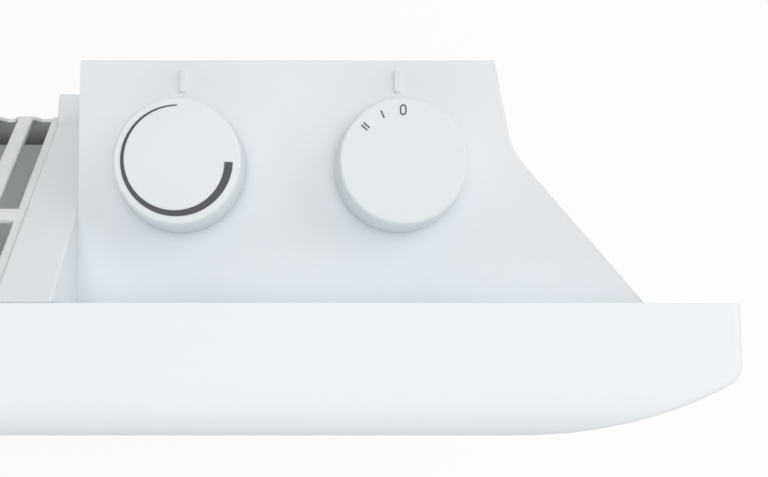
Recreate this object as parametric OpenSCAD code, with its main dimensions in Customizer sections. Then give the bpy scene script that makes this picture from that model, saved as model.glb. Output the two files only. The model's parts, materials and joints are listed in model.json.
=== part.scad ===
/* [Body] */
// Width of the front panel
body_w = 640; // [560:5:900]
// Height of the front panel's top edge above the floor
body_top = 413; // [380:1:520]
// Depth of the body from the front face to the housings' back
body_depth = 111; // [104:1:125]
// Height of the panel's lower edge above the floor
panel_bottom = 42; // [36:1:44]
// Height of the casing's lower edge above the floor
case_bottom = 50; // [46:1:60]
// Thickness of the steel sheets
sheet = 1.2; // [0.8:0.1:1.6]
// Wall thickness of the plastic mouldings
wall = 2.2; // [1.8:0.1:2.8]
// Gap between pieces that are fitted together
fit = 0.2; // [0.1:0.05:0.3]

/* [Front panel] */
// Depth of the front panel from its face to its rear lip
panel_depth = 36.2; // [32:0.1:40]
// Radius of the roll at the panel's top and bottom
panel_roll = 17; // [12:0.5:22]
// Radius of the curve that takes the face back at each end
end_curve_r = 118; // [105:1:140]
// Width of that curve at each end
end_curve_run = 60; // [45:1:70]
// Width of the rear flange at the ends and along the bottom
flange_w = 20; // [16:0.5:24]
// How far the top flange reaches below the control deck
flange_overlap = 4.5; // [3:0.5:6]

/* [Housings] */
// Drop from the panel's top to the control deck
deck_drop = 29.5; // [25:0.5:34]
// Width of the right housing, from the panel's end to its inner edge
right_housing_w = 183; // [176:1:210]
// Width of the left housing, from the panel's end to its inner edge
left_housing_w = 88.9; // [84:0.1:100]
// Distance from the panel's end to the housing's front corner
corner_inset = 13.4; // [10:0.1:18]
// Distance from the panel's end to the housing's waist
waist_inset = 53.2; // [50:0.1:58]
// Distance from the housing's back to its waist
waist_y = 27.6; // [22:0.1:32]
// Distance from the panel's end to the housing's back corner
back_inset = 58.3; // [56:0.1:66]
// Radius of the housing's waist
waist_r = 18; // [10:1:24]
// How far the housings stand behind the rear casing
rear_step = 7.4; // [6:0.1:9]
// Width of each pointer rib
rib_w = 2.1; // [1.5:0.1:3]
// Length of each pointer rib
rib_len = 7.2; // [5:0.1:9]
// Height of each pointer rib
rib_h = 0.9; // [0.5:0.1:1.5]
// Distance from the knob axis to the pointer rib's near end
rib_reach = 23.2; // [22:0.1:25]

/* [Outlet grille] */
// Distance between bar centres
bar_pitch = 11.6; // [10:0.1:12]
// Width of a bar
bar_w = 5.7; // [4:0.1:7]
// Thickness of the bars, square to the slope
bar_h = 4; // [3:0.1:5]
// Angle of the slope below the horizontal
slope = 45; // [42:1:48]
// Drop from the panel's top edge to the grille's top edge
grille_drop = 0.5; // [0.3:0.1:2]
// Width of the crossbar along the slope
crossbar_w = 7; // [5:0.1:9]
// Distance from the panel's lip to the crossbar's middle, level
crossbar_y = 28.8; // [24:0.1:34]
// Width of the frame strip beside each cheek
frame_w = 3.1; // [2:0.1:5]
// Width of each end cheek
cheek_w = 15.6; // [12:0.1:18]
// Height of the cheeks' sides
cheek_h = 34; // [32:0.5:38]
// Length of the flatter shelf at the cheek's back
shelf_run = 12; // [10:0.5:14]
// Drop of that shelf
shelf_drop = 3; // [2:0.5:5]

/* [Knobs] */
// Distance between the two knob axes
knob_spacing = 64.4; // [58:0.1:70]
// Distance from the housing's inner edge to the first knob axis
knob_inset = 30.9; // [28:0.1:36]
// Distance from the housing's back to the knob axes
knob_y = 33.5; // [32:0.1:36]
// Radius of a knob at its base
knob_base_r = 19; // [17:0.1:20.5]
// Radius of a knob at its top
knob_top_r = 18.3; // [16.4:0.1:19.5]
// Height of a knob's top above the deck
knob_h = 13.7; // [12.5:0.1:16]
// Rounding of a knob's top edge
knob_round = 1.4; // [0.8:0.1:2]
// Wall thickness of a knob
knob_wall = 2; // [1.6:0.1:2.6]
// Gap between a knob and the deck
knob_gap = 0.8; // [0.5:0.1:1.2]
// Radius of a control shaft
shaft_r = 3; // [2.5:0.1:3.5]
// Radial clearance of a turning shaft
shaft_play = 0.05; // [0.02:0.01:0.1]
// Radius of the threaded bush round a shaft
bush_r = 5; // [4.5:0.1:5.4]
// Thickness of the printed marks
print_h = 0.15; // [0.1:0.05:0.3]
// Outer radius of the temperature scale
scale_r = 16; // [12:0.1:16.2]
// Width of the scale where it starts
scale_start_w = 0.3; // [0.2:0.1:1]
// Width of the scale where it ends
scale_end_w = 2.4; // [1.5:0.1:3]
// Angle that the scale covers
scale_angle = 268; // [200:1:300]
// Radius on which the power marks stand
mark_r = 14.5; // [12:0.1:15]
// Angle between two power marks
mark_step = 24; // [20:1:30]
// Height of the power marks
mark_h = 3.1; // [2:0.1:3.2]
// Width of a printed stroke
stroke_w = 0.36; // [0.25:0.01:0.6]

/* [Heating] */
// Gap between each end of the element and the channel's side wall
element_gap = 19.65; // [18:0.05:60]
// Height of the element's axis above the floor
element_z = 150; // [130:1:165]
// Length of each of the element's four arms
arm_len = 34; // [26:0.5:36]
// Thickness of an arm
arm_t = 2.4; // [1.8:0.1:3]
// Radius of the element's boss
boss_r = 9; // [7:0.1:11]
// Number of fins on each arm
fin_count = 3; // [1:1:4]
// Thickness of a fin
fin_t = 1.5; // [1:0.1:2]
// Length of a fin
fin_len = 9; // [6:0.5:10]
// Radius of the tubular core
core_r = 4; // [3:0.1:5]
// Radius of a ceramic bush
ceramic_r = 7; // [6:0.1:8]
// Drop from the panel's top to the deflector's back edge
deflector_drop = 104.5; // [101:0.5:122]
// Level run of the deflector
deflector_run = 40; // [30:0.5:44]
// Angle of the deflector below the horizontal
deflector_angle = 40; // [30:1:45]
// Radius of an intake guard rod
rod_r = 1.5; // [1:0.1:2]
// Number of intake guard rods
rod_count = 5; // [3:1:6]

/* [Mounting] */
// Spacing of the wall screws
hang_spacing = 200; // [120:5:240]
// Drop from the deflector's back edge to the wall screw holes
hang_gap = 23.5; // [22:0.5:80]
// Radius of the wall screw holes
hang_r = 4; // [3:0.1:5]
// Radius of the cord gland's bore
gland_bore_r = 3.8; // [3:0.1:4.5]
// Radius of the cord gland's body
gland_r = 7; // [6:0.1:8]
// Radius of the screws' shanks
screw_r = 1.8; // [1.5:0.1:2]
// Radius of the screws' heads
head_r = 3.6; // [3.2:0.1:4]
// Length of each foot, front to back
foot_len = 172; // [150:1:200]
// Width of each foot
foot_w = 36; // [30:1:40]
// Distance from the panel's end to a foot's middle
foot_inset = 65; // [62:1:68]
// Radius of a foot pad
pad_r = 8; // [6:0.1:10]
// Thickness of a foot pad
pad_h = 4; // [3:0.1:5]
// How far the foot stands above the floor on its pads
pad_proud = 2.5; // [1.5:0.1:2.8]

/* [Hidden] */
$fn = 48;
thin_fn = 24;
knob_fn = 96;

// Colours
white = [0.90, 0.92, 0.93];
off_white = [0.86, 0.88, 0.88];
knob_white = [0.91, 0.94, 0.95];
print_grey = [0.32, 0.33, 0.35];
zinc = [0.78, 0.80, 0.81];
steel = [0.62, 0.64, 0.66];
screw_steel = [0.72, 0.73, 0.75];
aluminium = [0.75, 0.77, 0.79];
brass = [0.80, 0.70, 0.42];
copper = [0.78, 0.50, 0.34];
ceramic = [0.88, 0.84, 0.76];
cream = [0.88, 0.86, 0.80];
black = [0.19, 0.19, 0.20];

// Clearances and reaches that every piece shares
past = 1;          // how far a cut reaches past what it cuts
root = 0.2;        // how far a raised detail is sunk into what it stands on
seat_gap = 0.1;    // gap under a screw head, a nut or a body that sits on a wall
hole_play = 0.1;   // radial clearance of a screw, rod or tube in its hole
thread_play = 0.05; // radial clearance of a nut on its thread, and of a hub on its shaft
wall_reach = 4;    // how far the cut for a hole reaches on each side of a side wall

// The body's planes
half_w = body_w / 2;
front_y = -body_depth / 2;
back_y = body_depth / 2;
lip_y = front_y + panel_depth;
deck_z = body_top - deck_drop;
rear_y = back_y - rear_step;
knob_axis_y = back_y - knob_y;

// Places across the width: the two housings set the outlet, and the bars fill it
right_x = half_w - right_housing_w;
left_x = left_housing_w - half_w;
mid_x = (left_x + right_x) / 2;
outlet_left = left_x + cheek_w + frame_w;
outlet_right = right_x - cheek_w - frame_w;
bar_gap = bar_pitch - bar_w;
bars_span = outlet_right - outlet_left - bar_gap;
bar_count = floor(bars_span / bar_pitch + 0.01);
bar_step = bars_span / bar_count;
thermostat_x = right_x + knob_inset;
switch_x = thermostat_x + knob_spacing;

// The slope of the outlet
slope_y = lip_y + fit;
slope_z = body_top - grille_drop;
function slope_height(y) = slope_z - (y - slope_y) * tan(slope);
bar_drop = bar_h / cos(slope);
rear_top = slope_height(rear_y) - bar_drop - fit;
knee_y = back_y - shelf_run;
cheek_low = slope_height(knee_y) - cheek_h;

// The air channel between the casing's side walls
channel_left = left_x + sheet + fit;
channel_right = right_x - sheet - fit;
shield_y = lip_y + sheet + 2 * fit;
channel_front = shield_y + sheet;
channel_back = rear_y - sheet;
element_y = (channel_front + channel_back) / 2;
deflector_z = body_top - deflector_drop;
hang_z = deflector_z - hang_gap;

// The casing's rear flanges and the screws that hold the housings to them
flange_run = 16;
flange_rise = 6;
flange_gap = 4;
flange_back = back_y - wall - fit;
flange_z = cheek_low - flange_gap;
screw_inset = 9;
low_screw_rise = 42;
mid_screw_rise = 150;
top_screw_drop = 26.9;
screw_heights = [case_bottom + low_screw_rise, case_bottom + mid_screw_rise, flange_z - top_screw_drop];
screw_xs = [left_x - screw_inset, right_x + screw_inset];

// A box between two corners
module block(low, high) {
  translate(low)
    cube(high - low);
}

// A box between two corners given in any order
module span(a, b) {
  block([min(a[0], b[0]), min(a[1], b[1]), min(a[2], b[2])],
        [max(a[0], b[0]), max(a[1], b[1]), max(a[2], b[2])]);
}

// A flat shape in Y and Z, drawn along X
module along_x(from, to) {
  translate([from, 0, 0])
    rotate([90, 0, 90])
      linear_extrude(to - from)
        children();
}

// A round rod between two points, along any axis
module rod(from, to, r) {
  run = to - from;
  length = norm(run);
  translate(from)
    rotate([0, acos(run[2] / length), atan2(run[1], run[0])])
      cylinder(h = length, r = r, $fn = thin_fn);
}

// A wire or tube that follows points, with a slightly larger ball at each bend
bend_swell = 1.04;
module wire(points, r) {
  for (i = [0 : len(points) - 2])
    rod(points[i], points[i + 1], r);
  for (i = [1 : len(points) - 2])
    translate(points[i])
      sphere(r * bend_swell, $fn = thin_fn);
}

// A slotted screw whose head lies behind the origin and whose shank runs along +Z
head_h = 2;
slot_w = 0.8;
slot_depth = 0.8;
module screw(shank) {
  cylinder(h = shank, r = screw_r);
  difference() {
    translate([0, 0, -head_h])
      cylinder(h = head_h, r = head_r);
    block([-head_r, -slot_w / 2, -head_h - past], [head_r, slot_w / 2, slot_depth - head_h]);
  }
}

// Points along an arc
function arc(centre, r, from, to, steps) =
  [for (i = [0 : steps])
    let (a = from + (to - from) * i / steps)
    centre + r * [cos(a), sin(a)]];

// Front panel, as a plan and a side outline that are drawn through each other
end_steps = 10;
roll_steps = 8;
module panel_plan(inset, lip) {
  reach = acos((end_curve_run - inset) / (end_curve_r - inset));
  left = [-half_w + end_curve_run, front_y + end_curve_r];
  right = [half_w - end_curve_run, front_y + end_curve_r];
  polygon(concat(
    [[-half_w + inset, lip]],
    arc(left, end_curve_r - inset, 180 + reach, 270, end_steps),
    arc(right, end_curve_r - inset, 270, 360 - reach, end_steps),
    [[half_w - inset, lip]]));
}

module panel_side(inset, lip) {
  low = [front_y + panel_roll, panel_bottom + panel_roll];
  high = [front_y + panel_roll, body_top - panel_roll];
  polygon(concat(
    [[lip, panel_bottom + inset]],
    arc(low, panel_roll - inset, 270, 180, roll_steps),
    arc(high, panel_roll - inset, 180, 90, roll_steps),
    [[lip, body_top - inset]]));
}

module panel_form(inset, lip) {
  intersection() {
    translate([0, 0, panel_bottom + inset])
      linear_extrude(body_top - panel_bottom - 2 * inset)
        panel_plan(inset, lip);
    along_x(-half_w + inset, half_w - inset)
      panel_side(inset, lip);
  }
}

flange_top = deck_z - flange_overlap;
flange_low = panel_bottom + flange_w;
flange_x = half_w - flange_w;

module front_panel() {
  color(white)
    difference() {
      panel_form(0, lip_y);
      panel_form(sheet, lip_y - sheet);
      block([-flange_x, lip_y - 2 * sheet, flange_low], [flange_x, lip_y + past, flange_top]);
    }
}

// Spring clips that grip the panel's rear flange, under the decks and over the housings' floors
clip_w = 12;
clip_run = 9;
clip_t = 1.4;
clip_grip = 4;
clip_end_inset = 34;
clip_side_inset = 20;
clip_cut = 30;
clip_xs = [
  -half_w + clip_end_inset,
  left_x - clip_side_inset,
  right_x + clip_side_inset,
  half_w - clip_end_inset - clip_w
];

module clip(x, seat, edge, up) {
  grip = edge - up * clip_grip;
  difference() {
    span([x, lip_y - sheet - clip_t - fit, seat], [x + clip_w, lip_y + clip_run, grip - up * clip_t]);
    span([x - past, lip_y - sheet - fit, grip], [x + clip_w + past, lip_y + fit, edge + up * clip_cut]);
  }
}

module front_panel_clips() {
  color(steel)
    for (x = clip_xs) {
      clip(x, deck_z - wall - fit, flange_top, 1);
      clip(x, case_bottom + wall + fit, flange_low, -1);
    }
}

// Heat shield, the front wall of the air channel, narrower between the cheeks
shield_rise = 4;
shield_gap = 3;
shield_head_gap = 5;
shoulder_z = slope_height(channel_front) - cheek_h - shield_gap;
module heat_shield() {
  color(zinc)
    union() {
      block([channel_left, shield_y, case_bottom + shield_rise],
            [channel_right, channel_front, shoulder_z]);
      block([left_x + cheek_w + fit, shield_y, shoulder_z - past],
            [right_x - cheek_w - fit, channel_front, slope_z - bar_drop - shield_head_gap]);
    }
}

// Rear casing: back wall, two side walls, and the flanges that the housings are screwed to
module side_outline() {
  polygon([
    [slope_y, case_bottom],
    [flange_back, case_bottom],
    [flange_back, cheek_low - fit],
    [knee_y, cheek_low - fit],
    [slope_y, slope_height(slope_y) - cheek_h - fit]
  ]);
}

tab_w = 12;
tab_rise = 14;
tab_drop = 40;
rod_rise = 8;
rod_z = case_bottom + rod_rise;
function rod_y(i) = channel_front + (channel_back - channel_front) * (i + 1) / (rod_count + 1);

module rear_casing() {
  color(white)
    difference() {
      union() {
        block([left_x + fit, channel_back, case_bottom], [right_x - fit, rear_y, rear_top]);
        along_x(left_x + fit, channel_left)
          side_outline();
        along_x(channel_right, right_x - fit)
          side_outline();
        rear_flange(right_x - sheet, right_x + flange_run);
        rear_flange(left_x - flange_run, left_x + sheet);
        shield_tab(channel_left - fit, channel_left + tab_w);
        shield_tab(channel_right - tab_w, channel_right + fit);
      }
      for (side = [-1, 1])
        rod([side * hang_spacing / 2, channel_back - past, hang_z],
            [side * hang_spacing / 2, rear_y + past, hang_z], hang_r);
      side_hole([0, element_y, element_z], ceramic_r + fit);
      for (i = [0 : rod_count - 1])
        side_hole([0, rod_y(i), rod_z], rod_r + hole_play);
      for (x = bracket_foot_x, z = bracket_screw_z)
        rod([x, channel_back - past, z], [x, rear_y + past, z], screw_r + hole_play);
      for (x = screw_xs, z = screw_heights)
        rod([x, flange_back - sheet - past, z], [x, back_y, z], screw_r + hole_play);
    }
}

module rear_flange(from, to) {
  block([from, flange_back - sheet, case_bottom + flange_rise], [to, flange_back, flange_z]);
}

module shield_tab(from, to) {
  block([from, shield_y - sheet - fit, case_bottom + tab_rise], [to, shield_y - fit, deck_z - tab_drop]);
}

// The same hole through both side walls
module side_hole(place, r) {
  for (x = [left_x, right_x])
    rod([x - wall_reach, place[1], place[2]], [x + wall_reach, place[1], place[2]], r);
}

// Outline of a housing in plan, from the front inner corner round to the front outer corner
waist_steps = 4;
function unit(v) = v / norm(v);
function side_of(u, v) = u[0] * v[1] - u[1] * v[0];
function turned(v, t) = [v[0] * cos(t) - v[1] * sin(t), v[0] * sin(t) + v[1] * cos(t)];
function fillet(a, b, c, r, steps) =
  let (u = unit(a - b), v = unit(c - b), half = acos(u * v) / 2, m = unit(u + v))
  let (centre = b + m * r / sin(half), start = b + u * r / tan(half) - centre)
  let (turn = side_of(u, v) > 0 ? 2 * half - 180 : 180 - 2 * half)
  [for (i = [0 : steps]) centre + turned(start, turn * i / steps)];

function housing_outline(inner_w, start_y) =
  let (back = [half_w - back_inset, back_y], waist = [half_w - waist_inset, back_y - waist_y])
  let (corner = [half_w - corner_inset, lip_y])
  let (front = corner + (waist - corner) * (start_y - lip_y) / (waist[1] - lip_y))
  concat(
    [[half_w - inner_w, start_y], front],
    fillet(front, waist, back, waist_r, waist_steps),
    [back, [half_w - inner_w, back_y]]);

// The same outline drawn in by a wall, each edge moved to its left
function cross_at(p, u, q, v) = p + u * side_of(q - p, v) / side_of(u, v);
function left_of(u) = [-u[1], u[0]];
function drawn_in(points, d) =
  let (n = len(points))
  [for (i = [0 : n - 1])
    let (a = points[(i + n - 1) % n], b = points[i], c = points[(i + 1) % n])
    let (u = unit(b - a), v = unit(c - b))
    cross_at(b + left_of(u) * d, u, b + left_of(v) * d, v)];

// A housing at the right end: top deck, floor and outer walls, open to the front and to the channel
vent_count = 3;
vent_w = 2.5;
vent_pitch = 5;
vent_inset = 10;
vent_front = 12;
vent_len = 32;
window_gap = 2;
module housing(inner_w) {
  inner_x = half_w - inner_w;
  difference() {
    translate([0, 0, case_bottom])
      linear_extrude(deck_z - case_bottom)
        polygon(housing_outline(inner_w, slope_y));
    translate([0, 0, case_bottom + wall])
      linear_extrude(deck_z - case_bottom - 2 * wall)
        polygon(drawn_in(housing_outline(inner_w, lip_y - 2 * wall), wall));
    block([inner_x - past, lip_y - past, case_bottom + wall],
          [inner_x + wall + past, back_y - wall, cheek_low - window_gap]);
    for (y = foot_screw_ys)
      rod([foot_x, y, case_bottom - past], [foot_x, y, case_bottom + wall + past], screw_r + hole_play);
    for (z = screw_heights)
      rod([inner_x + screw_inset, back_y - wall - past, z],
          [inner_x + screw_inset, back_y + past, z], screw_r + hole_play);
    for (i = [0 : vent_count - 1])
      floor_vent(inner_x + vent_inset + i * vent_pitch);
  }
}

module floor_vent(x) {
  block([x, lip_y + vent_front, case_bottom - past],
        [x + vent_w, lip_y + vent_front + vent_len, case_bottom + wall + past]);
}

gland_inset = 46;
gland_rise = 34;
gland_x = right_x + gland_inset;
gland_z = case_bottom + gland_rise;

module right_housing() {
  color(white) {
    difference() {
      housing(right_housing_w);
      for (x = [thermostat_x, switch_x])
        rod([x, knob_axis_y, deck_z - wall - past], [x, knob_axis_y, deck_z + past], bush_r + fit);
      rod([gland_x, back_y - wall - past, gland_z], [gland_x, back_y + past, gland_z], gland_r + fit);
    }
    for (x = [thermostat_x, switch_x])
      pointer_rib(x);
  }
}

module pointer_rib(x) {
  near_y = knob_axis_y + rib_reach + rib_w / 2;
  far_y = knob_axis_y + rib_reach + rib_len - rib_w / 2;
  for (y = [near_y, far_y])
    rod([x, y, deck_z - root], [x, y, deck_z + rib_h], rib_w / 2);
  block([x - rib_w / 2, near_y, deck_z - root], [x + rib_w / 2, far_y, deck_z + rib_h]);
}

module left_housing() {
  color(white)
    mirror([1, 0, 0])
      housing(left_housing_w);
}

// End cheeks: a hollow sloping cap, and a leg of channel section down the back
function cheek_top(in) =
  let (y0 = slope_y + in, drop = in / cos(slope))
  [
    [y0, slope_height(y0) - drop],
    [knee_y, slope_height(knee_y) - drop],
    [back_y - in, slope_height(knee_y) - shelf_drop - in]
  ];

module cheek(inner, outer) {
  low = min(inner, outer);
  high = max(inner, outer);
  front_low = slope_height(slope_y) - cheek_h;
  difference() {
    along_x(low, high)
      polygon(concat(cheek_top(0), [[back_y, cheek_low], [knee_y, cheek_low], [slope_y, front_low]]));
    along_x(low + wall, high - wall)
      polygon(concat(cheek_top(wall), [
        [back_y - wall, cheek_low - past],
        [knee_y, cheek_low - past],
        [slope_y + wall, slope_height(slope_y + wall) - cheek_h - past]
      ]));
    block([low - past, channel_back - fit, cheek_low - past], [high + past, rear_y + fit, rear_top + fit]);
  }
  cheek_leg(inner < outer ? low : low + sheet + 2 * fit, inner < outer ? high - sheet - 2 * fit : high);
}

module cheek_leg(low, high) {
  difference() {
    block([low, rear_y + fit, case_bottom], [high, back_y, cheek_low + wall]);
    block([low + wall, rear_y, case_bottom - past], [high - wall, back_y - wall, cheek_low + wall + past]);
  }
}

module right_cheek() {
  color(white)
    cheek(right_x - cheek_w, right_x - fit);
}

module left_cheek() {
  color(white)
    cheek(left_x + cheek_w, left_x + fit);
}

// Outlet grille: bars down the slope, a crossbar, two side strips and a low rim at the back
rim_drop = 1.8;
rim_run = 2;
overrun = 9;
strip_drop = 0.6;
crossbar_drop = 0.8;
front_rail_w = 5;
front_rail_drop = 1.5;
strip_left = left_x + cheek_w + fit;
strip_right = right_x - cheek_w - fit;
slope_len = (rear_y - slope_y) / cos(slope);
module slope_bar(left, w, from, to, drop) {
  translate([left, slope_y, slope_z])
    rotate([-slope, 0, 0])
      block([0, from, -bar_h], [w, to, -drop]);
}

module outlet_grille() {
  cross_v = crossbar_y / cos(slope);
  low_z = rear_top + fit;
  last = slope_len + overrun;
  all_w = strip_right - strip_left;
  color(off_white)
    intersection() {
      union() {
        for (i = [0 : bar_count - 1])
          slope_bar(outlet_left + bar_gap + i * bar_step, bar_w, -overrun, last, 0);
        slope_bar(strip_left, all_w, cross_v - crossbar_w / 2, cross_v + crossbar_w / 2, crossbar_drop);
        slope_bar(strip_left, outlet_left - strip_left, -overrun, last, strip_drop);
        slope_bar(outlet_right, strip_right - outlet_right, -overrun, last, strip_drop);
        slope_bar(strip_left, all_w, -overrun, front_rail_w, front_rail_drop);
        block([strip_left, rear_y - rim_run, low_z], [strip_right, rear_y, low_z + bar_drop - rim_drop]);
      }
      block([strip_left, slope_y, low_z], [strip_right, rear_y, slope_z]);
    }
}

// Air deflector, a plate that falls forward from the back wall, with a lip down the wall
deflector_lip = 10;
module air_deflector() {
  back = channel_back - fit;
  under = deflector_z - sheet / cos(deflector_angle);
  tip = deflector_z - deflector_run * tan(deflector_angle);
  color(zinc)
    along_x(channel_left + fit, channel_right - fit)
      polygon([
        [back, deflector_z],
        [back, under - deflector_lip],
        [back - sheet, under - deflector_lip],
        [back - sheet, under - sheet * tan(deflector_angle)],
        [back - deflector_run, tip - sheet / cos(deflector_angle)],
        [back - deflector_run, tip]
      ]);
}

// Heating element: an X-shaped extrusion with fins on each arm, round a tubular core
element_left = channel_left + element_gap;
element_right = channel_right - element_gap;
element_turn = 45;

module element_section() {
  difference() {
    union() {
      circle(boss_r);
      for (turn = [0 : 90 : 270])
        rotate(element_turn + turn) {
          translate([0, -arm_t / 2])
            square([arm_len, arm_t]);
          for (i = [1 : fin_count])
            translate([boss_r + (arm_len - boss_r) * i / fin_count - fin_t, -fin_len / 2])
              square([fin_t, fin_len]);
        }
    }
    circle(core_r + thread_play);
  }
}

module heating_element() {
  color(aluminium)
    translate([0, element_y, element_z])
      along_x(element_left, element_right)
        element_section();
}

core_reach = 12;
core_left = left_x - core_reach;
core_right = right_x + core_reach;
module axis_rod(from, to, r) {
  rod([from, element_y, element_z], [to, element_y, element_z], r);
}

module heater_core() {
  color(steel)
    axis_rod(core_left, core_right, core_r);
}

core_bush_len = 5;
collar_t = 2;
collar_w = 2.5;
module core_bush(x, side) {
  collar = x + side * (fit + seat_gap);
  difference() {
    union() {
      axis_rod(x - core_bush_len, x + core_bush_len, ceramic_r);
      axis_rod(collar, collar + side * collar_t, ceramic_r + collar_w);
    }
    axis_rod(x - core_bush_len - past, x + core_bush_len + past, core_r + hole_play);
  }
}

module core_bushes() {
  color(ceramic) {
    core_bush(left_x, -1);
    core_bush(right_x, 1);
  }
}

stud_r = 1.6;
stud_len = 9;
module core_terminals() {
  color(brass) {
    axis_rod(core_right, core_right + stud_len, stud_r);
    axis_rod(core_left, core_left - stud_len, stud_r);
  }
}

// Element brackets: a plate across the channel with a foot on the back wall
bracket_t = 1.5;
bracket_half = 26;
bracket_foot = 11;
bracket_gap = 0.4;
bracket_screw_rise = 16;
bracket_screw_len = 5;
bracket_screw_z = [element_z - bracket_screw_rise, element_z + bracket_screw_rise];
bracket_foot_x = [
  element_left - bracket_gap + bracket_foot / 2,
  element_right + bracket_gap - bracket_foot / 2
];

module bracket(x, outward) {
  low_z = element_z - bracket_half;
  high_z = element_z + bracket_half;
  seat = channel_back - fit;
  difference() {
    union() {
      span([x, element_y - bracket_half, low_z], [x + outward * bracket_t, seat, high_z]);
      span([x, seat - bracket_t, low_z], [x - outward * bracket_foot, seat, high_z]);
    }
    axis_rod(x - wall_reach, x + wall_reach, core_r + hole_play);
    for (fx = bracket_foot_x, z = bracket_screw_z)
      rod([fx, seat - bracket_t - past, z], [fx, seat + past, z], screw_r + hole_play);
  }
}

module right_bracket() {
  color(steel)
    bracket(element_right + bracket_gap, 1);
}

module left_bracket() {
  color(steel)
    bracket(element_left - bracket_gap, -1);
}

module bracket_screws() {
  color(screw_steel)
    for (x = bracket_foot_x, z = bracket_screw_z)
      translate([x, rear_y + seat_gap, z])
        rotate([90, 0, 0])
          screw(bracket_screw_len);
}

// Overheat cut-out, on the inside of the channel's right wall above the element
cutout_rise = 52;
cutout_r = 8;
cutout_depth = 8;
cutout_plate_t = 1;
cutout_plate = [28, 14];
module thermal_cutout() {
  face = channel_right - seat_gap;
  z = element_z + cutout_rise;
  color(black) {
    rod([face - cutout_plate_t, element_y, z], [face - cutout_depth, element_y, z], cutout_r);
    block([face - cutout_plate_t, element_y - cutout_plate[0] / 2, z - cutout_plate[1] / 2],
          [face, element_y + cutout_plate[0] / 2, z + cutout_plate[1] / 2]);
  }
}

// Controls under the deck: a body with a threaded bush, a shaft and a nut
control_top = deck_z - wall - seat_gap;
control_w = 34;
thermostat_h = 20;
switch_h = 24;
thermostat_low = control_top - thermostat_h;
switch_low = control_top - switch_h;
bush_rise = 2.9;
bush_top = deck_z + bush_rise;
nut_h = 2.3;
nut_r = 7.4;
shaft_depth = 12;
shaft_end_gap = 0.3;
shaft_head_gap = 0.4;
knob_top_t = 2.4;
knob_top = deck_z + knob_h;
shaft_low = control_top - shaft_depth;
shaft_top = knob_top - knob_top_t - shaft_head_gap;
flat_depth = 0.84;
flat_gap = 0.6;
flat_x = shaft_r - flat_depth;
flat_low = bush_top + flat_gap;
hub_r = 5.6;
hub_gap = 0.7;
hub_low = bush_top + hub_gap;

// A round column on a knob's axis
module on_axis(x, from, to, r) {
  translate([x, knob_axis_y, from])
    cylinder(h = to - from, r = r);
}

module control_body(x, low) {
  difference() {
    union() {
      block([x - control_w / 2, knob_axis_y - control_w / 2, low],
            [x + control_w / 2, knob_axis_y + control_w / 2, control_top]);
      on_axis(x, control_top - root, bush_top, bush_r);
    }
    on_axis(x, shaft_low - shaft_end_gap, bush_top + past, shaft_r + shaft_play);
  }
}

module control_nut(x) {
  translate([x, knob_axis_y, deck_z + seat_gap])
    difference() {
      cylinder(h = nut_h, r = nut_r, $fn = 6);
      translate([0, 0, -past])
        cylinder(h = nut_h + 2 * past, r = bush_r + thread_play);
    }
}

module control_shaft(x) {
  difference() {
    on_axis(x, shaft_low, shaft_top, shaft_r);
    block([x + flat_x, knob_axis_y - shaft_r - past, flat_low],
          [x + shaft_r + past, knob_axis_y + shaft_r + past, shaft_top + past]);
  }
}

// A knob: hollow, with a hub that grips the flat of the shaft
module knob_profile() {
  base = deck_z + knob_gap;
  ceiling = knob_top - knob_top_t;
  round_x = knob_top_r - knob_round;
  round_z = knob_top - knob_round;
  difference() {
    union() {
      polygon([
        [0, base],
        [knob_base_r, base],
        [knob_top_r + (knob_base_r - knob_top_r) * knob_round / (knob_h - knob_gap), round_z],
        [round_x, knob_top],
        [0, knob_top]
      ]);
      intersection() {
        translate([round_x, round_z])
          circle(knob_round, $fn = thin_fn);
        translate([round_x, round_z])
          square(knob_round);
      }
    }
    polygon([
      [0, base - past],
      [knob_base_r - knob_wall, base - past],
      [knob_top_r - knob_wall, ceiling],
      [0, ceiling]
    ]);
  }
  translate([0, hub_low])
    square([hub_r, ceiling - hub_low + root]);
}

module knob(x) {
  difference() {
    translate([x, knob_axis_y, 0])
      rotate_extrude($fn = knob_fn)
        knob_profile();
    difference() {
      on_axis(x, hub_low - past, shaft_top + fit, shaft_r + thread_play);
      block([x + flat_x + thread_play, knob_axis_y - hub_r, hub_low - 2 * past],
            [x + hub_r, knob_axis_y + hub_r, knob_top]);
    }
    difference() {
      on_axis(x, hub_low - past, hub_low + spring_h + fit, hub_r + past);
      on_axis(x, hub_low - 2 * past, hub_low + spring_h + past, spring_r);
    }
  }
}

// The ring spring that closes a knob's hub on its shaft
spring_r = 4.7;
spring_t = 0.7;
spring_h = 3;
spring_slit = 2;
module knob_spring(x) {
  difference() {
    on_axis(x, hub_low, hub_low + spring_h, spring_r + thread_play + spring_t);
    on_axis(x, hub_low - past, hub_low + spring_h + past, spring_r + thread_play);
    block([x - spring_slit / 2, knob_axis_y, hub_low - past],
          [x + spring_slit / 2, knob_axis_y + spring_r + spring_t + past, hub_low + spring_h + past]);
  }
}

module thermostat_body() {
  color(cream)
    control_body(thermostat_x, thermostat_low);
}

module switch_body() {
  color(black)
    control_body(switch_x, switch_low);
}

module thermostat_nut() {
  color(screw_steel)
    control_nut(thermostat_x);
}

module switch_nut() {
  color(screw_steel)
    control_nut(switch_x);
}

module thermostat_shaft() {
  color(steel)
    control_shaft(thermostat_x);
}

module switch_shaft() {
  color(steel)
    control_shaft(switch_x);
}

module thermostat_knob() {
  color(knob_white)
    knob(thermostat_x);
}

module power_knob() {
  color(knob_white)
    knob(switch_x);
}

module thermostat_knob_spring() {
  color(steel)
    knob_spring(thermostat_x);
}

module power_knob_spring() {
  color(steel)
    knob_spring(switch_x);
}

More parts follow.
